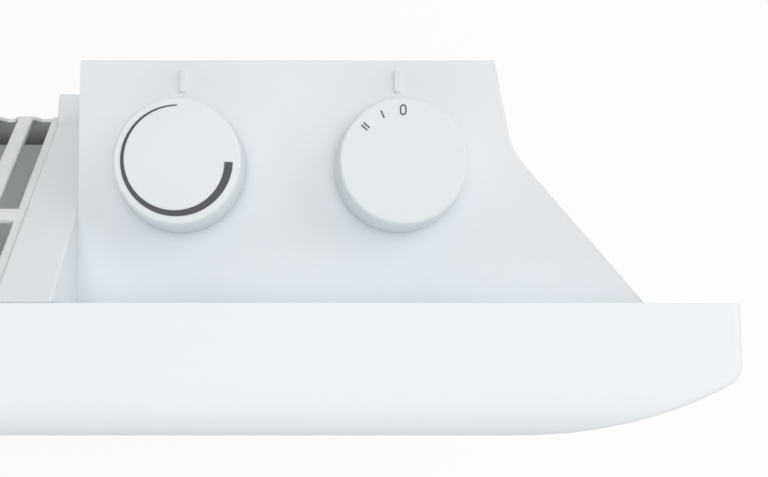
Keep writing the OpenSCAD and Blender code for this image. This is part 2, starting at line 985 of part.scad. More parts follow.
// Temperature scale: a band that starts thin at the pointer and widens anticlockwise
scale_steps = 60;
scale_start = 90;
function scale_point(i, r) =
  let (a = scale_start + scale_angle * i / scale_steps)
  r * [cos(a), sin(a)];
function scale_w(i) = scale_start_w + (scale_end_w - scale_start_w) * i / scale_steps;

module thermostat_scale() {
  color(print_grey)
    translate([thermostat_x, knob_axis_y, knob_top])
      linear_extrude(print_h)
        polygon(concat(
          [for (i = [0 : scale_steps]) scale_point(i, scale_r)],
          [for (i = [scale_steps : -1 : 0]) scale_point(i, scale_r - scale_w(i))]));
}

// Power marks: a nought, one stroke and two strokes
nought_w = 1.86;
stroke_h = 2.23;
stroke_gap = 0.58;
module power_marks() {
  color(print_grey)
    translate([switch_x, knob_axis_y, knob_top]) {
      translate([0, mark_r, 0])
        linear_extrude(print_h)
          nought();
      rotate(mark_step)
        translate([0, mark_r, 0])
          stroke(0);
      rotate(2 * mark_step)
        translate([0, mark_r, 0]) {
          stroke(-(stroke_gap + stroke_w) / 2);
          stroke((stroke_gap + stroke_w) / 2);
        }
    }
}

module nought() {
  r = nought_w / 2;
  difference() {
    nought_blob(r, mark_h / 2 - r);
    nought_blob(r - stroke_w, mark_h / 2 - r);
  }
}

module nought_blob(r, rise) {
  for (side = [-1, 1])
    translate([0, side * rise])
      circle(r, $fn = thin_fn);
  translate([-r, -rise])
    square([2 * r, 2 * rise]);
}

module stroke(x) {
  block([x - stroke_w / 2, -stroke_h / 2, 0], [x + stroke_w / 2, stroke_h / 2, print_h]);
}

// Blade terminals under the controls, each placed from the knob's axis
blade = [6.3, 0.8, 9];
thermostat_blades = [[-8, -4], [8, -4]];
switch_blades = [[-9, -8], [9, -8], [-9, 8], [9, 8]];
function blade_end(x, place, low) =
  [x + place[0], knob_axis_y + place[1] + blade[1] / 2, low - blade[2]];

module blade_row(x, low, places) {
  for (place = places)
    translate(blade_end(x, place, low) - [blade[0] / 2, blade[1] / 2, 0])
      cube(blade);
}

module thermostat_terminals() {
  color(brass)
    blade_row(thermostat_x, thermostat_low, thermostat_blades);
}

module switch_terminals() {
  color(brass)
    blade_row(switch_x, switch_low, switch_blades);
}

// Sensing bulb low in the right housing, and the capillary that joins it to the thermostat
bulb_r = 3;
bulb_len = 60;
bulb_inset = 14;
bulb_back = 22;
bulb_rise = 26;
bulb_x = right_x + bulb_inset;
bulb_y = lip_y + bulb_back;
bulb_z = case_bottom + bulb_rise;
capillary_r = 0.8;
capillary_grip = 0.5;
capillary_turn = 30;
capillary_end = 18;
capillary_side = 12;
capillary_in = 3;
module sensing_bulb() {
  top = [thermostat_x - capillary_side, knob_axis_y - control_w / 2 + capillary_in, thermostat_low];
  color(copper) {
    rod([bulb_x, bulb_y, bulb_z], [bulb_x, bulb_y, bulb_z + bulb_len], bulb_r);
    wire([
      [bulb_x, bulb_y, bulb_z + bulb_len - capillary_grip],
      [bulb_x, bulb_y, thermostat_low - capillary_turn],
      top - [0, 0, capillary_end],
      top
    ], capillary_r);
  }
}

// Clips that hold the bulb, standing on the channel's right wall
bulb_clip_h = 6;
bulb_clip_w = 12;
bulb_clip_t = 1.5;
bulb_clip_inset = 12;
bulb_clip_slot = 3;
module bulb_clips() {
  color(steel)
    for (z = [bulb_z + bulb_clip_inset, bulb_z + bulb_len - bulb_clip_inset - bulb_clip_h])
      difference() {
        block([right_x - fit + seat_gap, bulb_y - bulb_clip_w / 2, z],
              [bulb_x + bulb_r + bulb_clip_t, bulb_y + bulb_clip_w / 2, z + bulb_clip_h]);
        rod([bulb_x, bulb_y, z - past], [bulb_x, bulb_y, z + bulb_clip_h + past], bulb_r + hole_play);
        block([bulb_x, bulb_y - bulb_clip_slot / 2, z - past],
              [bulb_x + bulb_r + bulb_clip_t + past, bulb_y + bulb_clip_slot / 2, z + bulb_clip_h + past]);
      }
}

// Terminal block on the right housing's back wall, with three poles
block_size = [42, 18, 20];
block_inset = 70;
block_rise = 60;
block_low = [right_x + block_inset, back_y - wall - seat_gap - block_size[1], case_bottom + block_rise];
pole_count = 3;
pole_inset = 8;
pole_pitch = 13;
pole_r = 2.4;
pole_depth = 8;
pole_screw_drop = 1;
function pole(i, y, z) = block_low + [pole_inset + i * pole_pitch, y, z];

module pole_rods(from, to, r) {
  for (i = [0 : pole_count - 1])
    rod(pole(i, from, block_size[2] / 2), pole(i, to, block_size[2] / 2), r);
}

module terminal_block() {
  color(cream)
    difference() {
      block(block_low, block_low + block_size);
      pole_rods(-past, pole_depth, pole_r);
    }
}

module terminal_screws() {
  color(brass)
    pole_rods(pole_screw_drop, pole_depth - seat_gap, pole_r - hole_play);
}

// Tilt switch on the right housing's floor
tilt_size = [26, 18, 22];
tilt_cap = [10, 8, 3];
tilt_inset = 92;
tilt_front = 14;
module tilt_switch() {
  low = [right_x + tilt_inset, knob_axis_y - tilt_front, case_bottom + wall + seat_gap];
  cap = low + [(tilt_size[0] - tilt_cap[0]) / 2, (tilt_size[1] - tilt_cap[1]) / 2, tilt_size[2]];
  color(black) {
    block(low, low + tilt_size);
    block(cap, cap + tilt_cap);
  }
}

// Cord gland in the right housing's back wall
gland_flange_r = 10;
gland_flange_t = 2;
gland_reach = 10;
gland_nut_h = 5;
gland_nut_w = 4.4;
gland_inner_y = back_y - wall - gland_reach;
module gland_rod(from, to, r) {
  rod([gland_x, from, gland_z], [gland_x, to, gland_z], r);
}

module cord_gland() {
  color(black)
    difference() {
      union() {
        gland_rod(gland_inner_y, back_y + root, gland_r);
        gland_rod(back_y + seat_gap, back_y + gland_flange_t, gland_flange_r);
      }
      gland_rod(gland_inner_y - past, back_y + gland_flange_t + past, gland_bore_r);
    }
}

module gland_nut() {
  color(black)
    translate([gland_x, back_y - wall - seat_gap, gland_z])
      rotate([90, 0, 0])
        difference() {
          cylinder(h = gland_nut_h, r = gland_r + gland_nut_w, $fn = 6);
          translate([0, 0, -past])
            cylinder(h = gland_nut_h + 2 * past, r = gland_r + hole_play);
        }
}

// Internal wires: from the terminal block to the controls and the element
wire_r = 1.2;
lead_rise = 30;
lead_turn = 60;
jumper_drop = 16;
heater_drop = 40;
heater_rise = 60;
stud_grip = 3;
live_x = core_right + stud_len - stud_grip;
module live_wires() {
  start = pole(0, block_size[1] / 2, block_size[2]);
  supply = blade_end(switch_x, switch_blades[1], switch_low);
  out = blade_end(switch_x, switch_blades[0], switch_low);
  input = blade_end(thermostat_x, thermostat_blades[1], thermostat_low);
  output = blade_end(thermostat_x, thermostat_blades[0], thermostat_low);
  down = [0, 0, jumper_drop];
  color([0.45, 0.27, 0.16]) {
    wire([start, start + [0, 0, lead_rise], [supply[0], supply[1], start[2] + lead_turn], supply], wire_r);
    wire([out, out - down, input - down, input], wire_r);
    wire([
      output,
      output - [0, 0, heater_drop],
      [live_x, element_y, element_z + heater_rise],
      [live_x, element_y, element_z + stud_r + seat_gap]
    ], wire_r);
  }
}

// The neutral wire crosses to the left end between the heat shield and the front panel
cross_gap = 4;
cross_rise = 10;
cross_turn = 20;
neutral_drop = 16;
neutral_x = core_left - stud_len + stud_grip;
module neutral_wire() {
  start = pole(1, block_size[1] / 2, 0);
  cross_y = lip_y - sheet - cross_gap;
  cross_z = flange_low + cross_rise;
  color([0.20, 0.42, 0.66])
    wire([
      start,
      start - [0, 0, neutral_drop],
      [start[0], cross_y, cross_z],
      [neutral_x, cross_y, cross_z],
      [neutral_x, element_y, cross_z + cross_turn],
      [neutral_x, element_y, element_z - stud_r - seat_gap]
    ], wire_r);
}

earth_drop = 24;
earth_tail = 16;
earth_side = 6;
module earth_wire() {
  start = pole(2, block_size[1] / 2, 0);
  low = start - [0, 0, earth_drop];
  color([0.45, 0.62, 0.20])
    wire([
      start,
      low,
      [right_x + earth_side, low[1] - earth_side, low[2]],
      [right_x - fit + wire_r + seat_gap, low[1] - earth_side, low[2] - earth_tail]
    ], wire_r);
}

// Guard rods across the intake, held in the casing's side walls
rod_overhang = 1;
module guard_rods() {
  color(steel)
    for (i = [0 : rod_count - 1])
      rod([left_x - rod_overhang, rod_y(i), rod_z], [right_x + rod_overhang, rod_y(i), rod_z], rod_r);
}

// Feet: a long arm front to back, and a tower that carries the housing's floor
toe_r = 5;
toe_rise = 3.5;
toe_turn = 78;
sweep_r = 14;
sweep_z = 24;
sweep_turn = 72;
front_step = 2;
back_step = 4;
front_screw_inset = 15.3;
back_screw_inset = 17.5;
tower_front = lip_y + front_step;
tower_back = back_y - back_step;
foot_x = half_w - foot_inset;
foot_screw_ys = [tower_front + front_screw_inset, tower_back - back_screw_inset];
pad_inset = 14;
pad_ys = [pad_inset - foot_len / 2, foot_len / 2 - pad_inset];
pad_play = 0.15;
seat_depth = 12;
screw_seat = case_bottom - seat_depth;
foot_screw_reach = 6;
head_play = 0.6;
module foot_outline() {
  half = foot_len / 2;
  toe_z = pad_proud + toe_rise;
  top_z = case_bottom - seat_gap;
  polygon(concat(
    [[-half, pad_proud], [half, pad_proud]],
    arc([half - toe_r, toe_z], toe_r, 0, toe_turn, 4),
    arc([tower_back + sweep_r, sweep_z + sweep_r], sweep_r, 180 + sweep_turn, 180, 6),
    [[tower_back, top_z], [tower_front, top_z]],
    arc([tower_front - sweep_r, sweep_z + sweep_r], sweep_r, 0, -sweep_turn, 6),
    arc([toe_r - half, toe_z], toe_r, 180 - toe_turn, 180, 4)));
}

module foot() {
  difference() {
    along_x(foot_x - foot_w / 2, foot_x + foot_w / 2)
      foot_outline();
    for (y = pad_ys)
      foot_bore(y, 0, pad_h + seat_gap, pad_r + pad_play);
    for (y = foot_screw_ys) {
      foot_bore(y, screw_seat - past, case_bottom, screw_r + hole_play);
      foot_bore(y, 0, screw_seat, head_r + head_play);
    }
  }
}

module foot_bore(y, from, to, r) {
  translate([foot_x, y, from])
    cylinder(h = to - from, r = r);
}

module right_foot() {
  color(white)
    foot();
}

module left_foot() {
  color(white)
    mirror([1, 0, 0])
      foot();
}

module foot_pads() {
  color(black)
    for (side = [-1, 1], y = pad_ys)
      translate([side * foot_x, y, 0])
        cylinder(h = pad_h, r = pad_r);
}

module foot_screws() {
  color(screw_steel)
    for (side = [-1, 1], y = foot_screw_ys)
      translate([side * foot_x, y, screw_seat - seat_gap])
        screw(seat_depth + wall + foot_screw_reach);
}

casing_screw_len = 9;
module casing_screws() {
  color(screw_steel)
    for (x = screw_xs, z = screw_heights)
      translate([x, back_y + seat_gap, z])
        rotate([90, 0, 0])
          screw(casing_screw_len);
}

front_panel();
front_panel_clips();
heat_shield();
rear_casing();
right_housing();
left_housing();
right_cheek();
left_cheek();
outlet_grille();
air_deflector();
heating_element();
heater_core();
core_bushes();
core_terminals();
right_bracket();
left_bracket();
bracket_screws();
thermal_cutout();
thermostat_body();
thermostat_nut();
thermostat_terminals();
sensing_bulb();
bulb_clips();
thermostat_shaft();
thermostat_knob();
thermostat_knob_spring();
thermostat_scale();
switch_body();
switch_nut();
switch_terminals();
switch_shaft();
power_knob();
power_knob_spring();
power_marks();
terminal_block();
terminal_screws();
tilt_switch();
cord_gland();
gland_nut();
live_wires();
neutral_wire();
earth_wire();
guard_rods();
left_foot();
right_foot();
foot_pads();
foot_screws();
casing_screws();
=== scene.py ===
import json
from math import atan2, cos, hypot, pi, radians, sin, sqrt, tan

import bmesh
import bpy
from bpy.props import FloatProperty, FloatVectorProperty, IntProperty, PointerProperty
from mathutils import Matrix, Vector


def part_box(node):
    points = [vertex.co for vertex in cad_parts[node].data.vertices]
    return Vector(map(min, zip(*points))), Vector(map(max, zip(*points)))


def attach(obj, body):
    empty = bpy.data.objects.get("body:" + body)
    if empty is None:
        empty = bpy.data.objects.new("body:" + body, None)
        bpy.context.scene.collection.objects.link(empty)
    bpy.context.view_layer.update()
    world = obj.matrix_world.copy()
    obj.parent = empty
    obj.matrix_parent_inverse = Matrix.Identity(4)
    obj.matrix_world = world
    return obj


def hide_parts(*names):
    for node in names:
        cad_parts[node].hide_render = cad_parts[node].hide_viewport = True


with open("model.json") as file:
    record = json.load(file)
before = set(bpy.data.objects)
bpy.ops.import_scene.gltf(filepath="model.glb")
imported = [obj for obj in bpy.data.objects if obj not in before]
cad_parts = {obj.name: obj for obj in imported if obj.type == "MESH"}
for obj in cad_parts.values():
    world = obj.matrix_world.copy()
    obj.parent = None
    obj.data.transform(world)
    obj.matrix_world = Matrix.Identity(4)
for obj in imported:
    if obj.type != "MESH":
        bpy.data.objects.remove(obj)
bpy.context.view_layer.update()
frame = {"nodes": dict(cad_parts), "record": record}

bl_info = {
    "name": "Convector heater",
    "version": (1, 0, 0),
    "blender": (4, 5, 0),
    "location": "3D View > Sidebar > Heater",
    "description": "Fine shapes, finishes, light and camera for a convector heater",
    "category": "Object",
}

# Lengths are in metres, and a point nearer than NEAR to a plane counts as on it
MM = 0.001
NEAR = 0.05 * MM

HEATER = "heater"
FINISHES = {}
SLOT_OF = {part["node"]: part["material_slot"] for part in frame["record"]["subparts"]}


# Sizes and colours that a user may change

def size(name, description, millimetres):
    """A length property with its default given in millimetres."""
    return FloatProperty(
        name=name, description=description, default=millimetres * MM, min=0.0, unit="LENGTH", precision=5
    )


def angle(name, description, turn):
    """An angle property with its default given in degrees."""
    return FloatProperty(name=name, description=description, default=radians(turn), subtype="ANGLE")


def colour(name, description, tone):
    """A colour property."""
    return FloatVectorProperty(
        name=name, description=description, default=tone, min=0.0, max=1.0, size=3, subtype="COLOR"
    )


def power(name, description, watts):
    """The power of a lamp."""
    return FloatProperty(name=name, description=description, default=watts, min=0.0, unit="POWER")


def share(name, description, part):
    """A share of light, from 0 to 1."""
    return FloatProperty(
        name=name, description=description, default=part, min=0.0, max=1.0, subtype="FACTOR"
    )


class PanelSizes(bpy.types.PropertyGroup):
    """Sizes of the front panel."""

    roll: size("Roll", "Radius of the roll along the top and bottom of the panel", 17)
    end_curve: size("End curve", "Radius of the curve that takes the face back at each end", 118)
    end_run: size("End curve width", "Width of that curve at each end", 60)
    corner: size("Corner", "Rounding of the upright corner between the curve and the end face", 6)
    edge: size("Edge", "Rounding of the edge along the top of the curve and the end face", 3.4)
    sheet: size("Sheet", "Thickness of the steel sheet", 1.2)
    flange: size("Flange", "Width of the rear flange at the ends and along the bottom", 20)
    flange_top: size("Flange top", "Width of the rear flange along the top", 34)


class GrilleSizes(bpy.types.PropertyGroup):
    """Sizes of the outlet grille."""

    bars: IntProperty(name="Bars", description="Number of bars", default=28, min=2, max=60)
    bar_width: size("Bar width", "Width of a bar", 5.7)
    bar_height: size("Bar height", "Thickness of a bar, square to the slope", 4)
    bar_edge: size("Bar edge", "Rounding of a bar's edges", 0.8)
    bar_draft: size("Bar draft", "How much a bar's sides draw in towards its underside", 1.3)
    gap: size("First gap", "Gap between the left side strip and the first bar", 5.9)
    slope: angle("Slope", "Angle of the slope below the horizontal", 45)
    strip: size("Side strip", "Width of the strip beside each cheek", 2.9)
    strip_drop: size("Side strip drop", "How far the side strips lie below the bars' tops", 1.1)
    cross_place: size("Crossbar place", "Level distance from the front edge to the crossbar's middle", 28.5)
    cross_width: size("Crossbar width", "Width of the crossbar along the slope", 5.6)
    cross_depth: size("Crossbar depth", "How far the crossbar's underside lies below the bars' tops", 2.3)
    cross_drop: size("Crossbar drop", "How far the crossbar lies below the bars' tops", 0.8)
    front_width: size("Front rail width", "Width of the front rail along the slope", 5)
    front_drop: size("Front rail drop", "How far the front rail lies below the bars' tops", 1.5)
    rim_run: size("Rim width", "Width of the low rim at the back", 1.2)
    rim_drop: size("Rim drop", "How far the rim lies below the bars' ends", 3.4)


class KnobSizes(bpy.types.PropertyGroup):
    """Sizes of the two knobs."""

    wall: size("Wall", "Thickness of the knob's side", 2)
    cap: size("Cap", "Thickness of the knob's top", 2.4)
    edge: size("Edge", "Rounding of the knob's top edge", 0.9)
    taper: size("Taper", "How much narrower the knob is at its top", 0.7)
    foot: size("Foot edge", "Rounding of the knob's lower edge", 0.3)
    hub: size("Hub", "Radius of the hub under the knob's top", 5.6)
    bore: size("Bore", "Radius of the bore in the hub", 3.1)
    hub_rise: size("Hub rise", "How far the hub ends above the knob's lower edge", 2.8)


class MouldingSizes(bpy.types.PropertyGroup):
    """Edge roundings of the plastic mouldings."""

    housing: size("Housing edge", "Rounding of the housings' upper edges", 0.9)
    rib: size("Rib edge", "Rounding of the pointer ribs' upper edges", 0.35)
    cheek: size("Cheek edge", "Rounding of the end cheeks' edges", 0.7)
    foot: size("Foot edge", "Rounding of the feet's edges", 1.2)


class ScrewSizes(bpy.types.PropertyGroup):
    """Sizes of the round-headed screws."""

    head: size("Head", "Radius of a screw's head", 3.6)
    dome: size("Dome", "Height of a screw's head", 2)
    shank: size("Shank", "Radius of a screw's shank", 1.75)
    cross: size("Cross", "Length of the cross recess", 3.9)
    cross_width: size("Cross width", "Width of each arm of the recess", 0.8)
    cross_depth: size("Cross depth", "Depth of the recess", 1.1)


class Colours(bpy.types.PropertyGroup):
    """Colours of the main finishes."""

    panel: colour("Front panel", "Enamel of the front panel", (0.875, 0.92, 0.942))
    moulding: colour("Mouldings", "Plastic of the housings, cheeks and feet", (0.812, 0.85, 0.882))
    grille: colour("Grille", "Plastic of the outlet grille", (0.82, 0.84, 0.845))
    knob: colour("Knobs", "Plastic of the knobs", (0.797, 0.842, 0.863))
    casing: colour("Casing", "Enamel of the rear casing", (0.84, 0.86, 0.87))
    deflector: colour("Deflector", "Grey sheet of the air deflector", (0.90, 0.92, 0.925))
    ink: colour("Print", "Ink of the scale and the marks", (0.05, 0.053, 0.06))
    floor: colour("Floor", "Colour of the floor", (0.96, 0.96, 0.96))


class StudioSettings(bpy.types.PropertyGroup):
    """Light and floor."""

    key: power("Key light", "Power of the low light at the right, a little behind", 6.7)
    front: power("Front light", "Power of the light before the panel", 6.8)
    top: power("Top light", "Power of the light overhead", 5.6)
    back: power("Back light", "Power of the low light behind", 3.4)
    ambient: share("Ambient", "Strength of the even light all round", 0.43)
    bounce: share("Floor bounce", "Share of light that the floor gives back", 0.2)
    floor_glow: share("Floor white", "Share of plain white in what is seen of the near floor", 0.88)


# Node trees

class Value:
    """What comes out of a node's socket, with arithmetic on numbers that adds Math nodes."""

    def __init__(self, nodes, socket):
        self.nodes = nodes
        self.socket = socket

    def __add__(self, other):
        return self.nodes.math("ADD", self, other)

    def __radd__(self, other):
        return self.nodes.math("ADD", other, self)

    def __sub__(self, other):
        return self.nodes.math("SUBTRACT", self, other)

    def __rsub__(self, other):
        return self.nodes.math("SUBTRACT", other, self)

    def __mul__(self, other):
        return self.nodes.math("MULTIPLY", self, other)

    def __rmul__(self, other):
        return self.nodes.math("MULTIPLY", other, self)

    def step(self, low, high):
        """0 below low and 1 above high, with a smooth passage between them."""
        limits = {0: self, 1: low, 2: high, 3: 0.0, 4: 1.0}
        return self.nodes.node("ShaderNodeMapRange", {"interpolation_type": "SMOOTHSTEP"}, limits)


class Nodes:
    """A node tree in the making."""

    def __init__(self, tree):
        self.tree = tree
        tree.nodes.clear()

    def node(self, kind, settings, values, output=0):
        """Add a node: its settings first, then the values or links of its sockets; gives one output."""
        made = self.tree.nodes.new(kind)
        for key, item in settings.items():
            setattr(made, key, item)
        for key, item in values.items():
            for part in item if isinstance(item, list) else [item]:
                if isinstance(part, Value):
                    self.tree.links.new(part.socket, made.inputs[key])
                else:
                    made.inputs[key].default_value = part
        return Value(self, made.outputs[output]) if made.outputs else None

    def math(self, operation, *inputs):
        """A Math node of these inputs."""
        return self.node("ShaderNodeMath", {"operation": operation}, dict(enumerate(inputs)))

    def shown(self):
        """1 for rays that show the background: from the camera, in gloss and through glass."""
        camera, gloss, through = (
            self.node("ShaderNodeLightPath", {}, {}, f"Is {kind} Ray")
            for kind in ("Camera", "Glossy", "Transmission")
        )
        return self.math("MINIMUM", camera + gloss + through, 1.0)


class Finish(Nodes):
    """A procedural material in the making, on the piece's own coordinates."""

    def __init__(self, name):
        self.material = bpy.data.materials.new(name)
        self.material.use_nodes = True
        super().__init__(self.material.node_tree)
        self.place = self.node("ShaderNodeTexCoord", {}, {}, "Object")

    def axis(self, name):
        """One of the piece's coordinates."""
        return self.node("ShaderNodeSeparateXYZ", {}, {0: self.place}, name)

    def stretched(self, scale):
        """The piece's coordinates, scaled along each axis."""
        sockets = {"Vector": self.place, "Scale": scale}
        return self.node("ShaderNodeMapping", {"vector_type": "POINT"}, sockets)

    def noise(self, scale, detail=2.0, rough=0.5, place=None):
        """Cloudy noise from 0 to 1; the scale is in patches per metre."""
        sockets = {"Vector": place or self.place, "Scale": scale, "Detail": detail, "Roughness": rough}
        return self.node("ShaderNodeTexNoise", {"noise_dimensions": "3D"}, sockets)

    def cells(self, scale, output):
        """Cell noise; the scale is in cells per metre."""
        sockets = {"Vector": self.place, "Scale": scale}
        return self.node("ShaderNodeTexVoronoi", {"feature": "F1"}, sockets, output)

    def blend(self, factor, first, second):
        """A colour between two colours."""
        sockets = {0: factor, 6: opaque(first), 7: opaque(second)}
        return self.node("ShaderNodeMix", {"data_type": "RGBA"}, sockets, 2)

    def relief(self, height, millimetres, strength):
        """A normal from a height of 0 to 1 that stands for this distance."""
        sockets = {"Height": height, "Distance": millimetres * MM, "Strength": strength}
        return self.node("ShaderNodeBump", {}, sockets)

    def surface(self, values):
        """A principled surface with these sockets; gives the material."""
        return self.out(self.node("ShaderNodeBsdfPrincipled", {}, values))

    def out(self, shader):
        """Send a shader to the material's surface; gives the material."""
        self.node("ShaderNodeOutputMaterial", {}, {"Surface": shader})
        return self.material


class Tree(Nodes):
    """A geometry node tree in the making."""

    def __init__(self, name):
        super().__init__(bpy.data.node_groups.new(name, "GeometryNodeTree"))
        for way in ("INPUT", "OUTPUT"):
            self.tree.interface.new_socket("Geometry", in_out=way, socket_type="NodeSocketGeometry")
        self.inlet = self.tree.nodes.new("NodeGroupInput")
        self.values = {}

    def input(self, name, kind, value):
        """Add a named input and give its socket; the value is set on the modifier later."""
        item = self.tree.interface.new_socket(name, in_out="INPUT", socket_type="NodeSocket" + kind)
        self.values[item.identifier] = value
        return Value(self, self.inlet.outputs[name])

    def points(self):
        """The points that the tree is given."""
        return Value(self, self.inlet.outputs["Geometry"])

    def moved(self, geometry, place):
        """Geometry taken to a place."""
        return self.node("GeometryNodeTransform", {}, {"Geometry": geometry, "Translation": place})

    def block(self, sides):
        """A block with these sides about the middle."""
        return self.node("GeometryNodeMeshCube", {}, {"Size": sides})

    def combined(self, operation, values):
        """Meshes joined or cut by one another."""
        return self.node("GeometryNodeMeshBoolean", {"operation": operation}, values)

    def build(self, name, geometry, material, places=()):
        """Close the tree, run it on points at these places and give the result as a plain object."""
        real = self.node("GeometryNodeRealizeInstances", {}, {0: geometry})
        painted = self.node("GeometryNodeSetMaterial", {}, {0: real, "Material": material})
        self.node("NodeGroupOutput", {}, {0: painted})
        carrier = add_object(name, bpy.data.meshes.new(name))
        carrier.data.from_pydata(places, [], [])
        modifier = carrier.modifiers.new("Build", "NODES")
        modifier.node_group = self.tree
        for identifier, value in self.values.items():
            modifier[identifier] = value
        made = evaluated_copy(carrier, name)
        bpy.data.node_groups.remove(self.tree)
        return made


def opaque(item):
    """A colour as a socket takes it: a link as it is, or a tone with full alpha."""
    return item if isinstance(item, Value) else (*item, 1.0)


def scaled(tone, factor):
    """A colour made lighter or darker."""
    return tuple(min(part * factor, 1.0) for part in tone)


# Finishes. A tone is a colour, rough is the middle of the roughness, grain and spangle are patches
# and crystals per metre, and depth is the relief in millimetres

# The film of an enamel: patches per metre, their detail, and the tones' factors
FILM = 14.0
FILM_DETAIL = 3.0
FILM_TONES = (0.985, 1.012)

# The rear casing is unpainted in front of this depth, where it lines the air channel; the unpainted sheet
# starts this far past the deflector's ends. It carries painted shade: dark at the bottom of the channel,
# growing paler over these heights
BARE_FRONT_OF = (47.2 * MM, 47.6 * MM)
BARE_SIDE = 0.5 * MM
BARE_SHADE_HEIGHTS = (308 * MM, 342 * MM)
# The dark tone is painted shade at the bottom of the air channel; the pale tone is the unpainted sheet at
# its top
BARE_PAINTED_SHADE = (0.16, 0.165, 0.17)
BARE_PALE = (0.88, 0.89, 0.895)

# Stripes of an earth wire's covering, in radians per metre of height and depth
STRIPE_TURNS = 520.0


def enamel(name, tone, grain, depth, rough):
    """Sprayed and stoved enamel: slight orange peel, pinhead specks and a faint uneven film."""
    finish = Finish(name)
    peel = finish.noise(grain, rough=0.45)
    film = finish.noise(FILM, FILM_DETAIL)
    specks = finish.cells(grain * 1.7, "Distance").step(0.02, 0.09)
    tint = finish.blend(film, *(scaled(tone, factor) for factor in FILM_TONES))
    return finish.surface({
        "Base Color": finish.blend(specks, scaled(tone, 0.97), tint),
        "Roughness": rough + (film - 0.5) * 0.08 + (peel - 0.5) * 0.05,
        "Specular IOR Level": 0.2,
        "Normal": finish.relief(peel, depth, 0.6),
    })


def casing_enamel(name, tone):
    """Enamel outside and unpainted sheet inside, parted by the depth of the back wall; the unpainted sheet
    carries painted shade, darker towards the bottom of the air channel.
    """
    low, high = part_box("air_deflector")
    finish = Finish(name)
    peel = finish.noise(1500.0, rough=0.45)
    film = finish.noise(FILM, FILM_DETAIL)
    x, y, z = (finish.axis(letter) for letter in "XYZ")
    between_ends = x.step(low.x - BARE_SIDE, low.x) * (1.0 - x.step(high.x, high.x + BARE_SIDE))
    inside = between_ends * (1.0 - y.step(*BARE_FRONT_OF))
    skin = finish.blend(film, *(scaled(tone, factor) for factor in FILM_TONES))
    # Painted shade on the unpainted sheet: dark low in the air channel, pale at its top
    unpainted_with_painted_shade = finish.blend(z.step(*BARE_SHADE_HEIGHTS), BARE_PAINTED_SHADE, BARE_PALE)
    return finish.surface({
        "Base Color": finish.blend(inside, skin, unpainted_with_painted_shade),
        "Roughness": 0.42 + (peel - 0.5) * 0.08 + (film - 0.5) * 0.06,
        "Normal": finish.relief(peel, 0.04, 0.6),
    })


def moulded(name, tone, grain, depth, rough):
    """Moulded plastic: fine spark-eroded grain and faint flow marks."""
    finish = Finish(name)
    texture = finish.noise(grain, 3.0, 0.6)
    flow = finish.noise(1.0, 3.0, 0.5, finish.stretched((6.0, 26.0, 9.0)))
    tint = finish.blend(flow, scaled(tone, 0.985), scaled(tone, 1.01))
    return finish.surface({
        "Base Color": finish.blend(texture.step(0.25, 0.75), scaled(tone, 0.985), tint),
        "Roughness": rough + (texture - 0.5) * 0.16,
        "Normal": finish.relief(texture, depth, 0.5),
    })


def sheet_metal(name, tone, rough, spangle):
    """Zinc-coated sheet: crystals of differing brightness, and rolling marks."""
    finish = Finish(name)
    crystal = finish.node("ShaderNodeSeparateColor", {}, {0: finish.cells(spangle, "Color")})
    rolled = finish.noise(1.0, 4.0, 0.6, finish.stretched((30.0, 900.0, 900.0)))
    stain = finish.noise(22.0, 4.0)
    bright = crystal * 0.6 + rolled * 0.4
    return finish.surface({
        "Base Color": finish.blend(bright, scaled(tone, 0.8), scaled(tone, 1.08)),
        "Metallic": 1.0 - stain.step(0.6, 0.85) * 0.25,
        "Roughness": rough + (crystal - 0.5) * 0.12 + (rolled - 0.5) * 0.1,
        "Normal": finish.relief(rolled, 0.03, 0.5),
    })


def drawn_metal(name, tone, rough, along, metallic=1.0):
    """Bright or dull metal with fine lines along one axis and faint tarnish."""
    finish = Finish(name)
    stretch = tuple(20.0 if axis == along else 1400.0 for axis in "xyz")
    lines = finish.noise(1.0, 3.0, 0.6, finish.stretched(stretch))
    tarnish = finish.noise(60.0, 4.0)
    return finish.surface({
        "Base Color": finish.blend(tarnish, scaled(tone, 0.82), scaled(tone, 1.06)),
        "Metallic": metallic - tarnish.step(0.62, 0.9) * 0.3,
        "Roughness": rough + (lines - 0.5) * 0.18 + (tarnish - 0.5) * 0.12,
        "Normal": finish.relief(lines, 0.02, 0.6),
    })


def ceramic(name, tone):
    """Unglazed steatite: fine speckle and a powdery surface."""
    finish = Finish(name)
    speckle = finish.noise(2600.0)
    fired = finish.noise(120.0, 3.0)
    tint = finish.blend(fired, scaled(tone, 0.94), scaled(tone, 1.03))
    return finish.surface({
        "Base Color": finish.blend(speckle.step(0.62, 0.72), tint, scaled(tone, 0.72)),
        "Roughness": 0.62 + (speckle - 0.5) * 0.2,
        "Normal": finish.relief(speckle, 0.06, 0.6),
    })


def rubber(name, tone):
    """Moulded rubber with a dusty bloom."""
    finish = Finish(name)
    pores = finish.noise(3200.0)
    bloom = finish.noise(160.0, 4.0)
    return finish.surface({
        "Base Color": finish.blend(bloom.step(0.45, 0.8), tone, scaled(tone, 1.8)),
        "Roughness": 0.78 + (pores - 0.5) * 0.2,
        "Normal": finish.relief(pores, 0.08, 0.6),
    })


def insulation(name, tone, stripe=None):
    """Extruded wire covering, with a second colour in streaks where it has one."""
    finish = Finish(name)
    skin = finish.noise(1500.0)
    worn = finish.noise(300.0, 3.0)
    tint = finish.blend(worn, scaled(tone, 0.88), scaled(tone, 1.08))
    if stripe:
        turns = (finish.axis("Z") + finish.axis("Y")) * STRIPE_TURNS
        tint = finish.blend(finish.math("SINE", turns).step(-0.1, 0.1), tint, stripe)
    return finish.surface({
        "Base Color": tint,
        "Roughness": 0.42 + (skin - 0.5) * 0.2,
        "Normal": finish.relief(skin, 0.03, 0.5),
    })


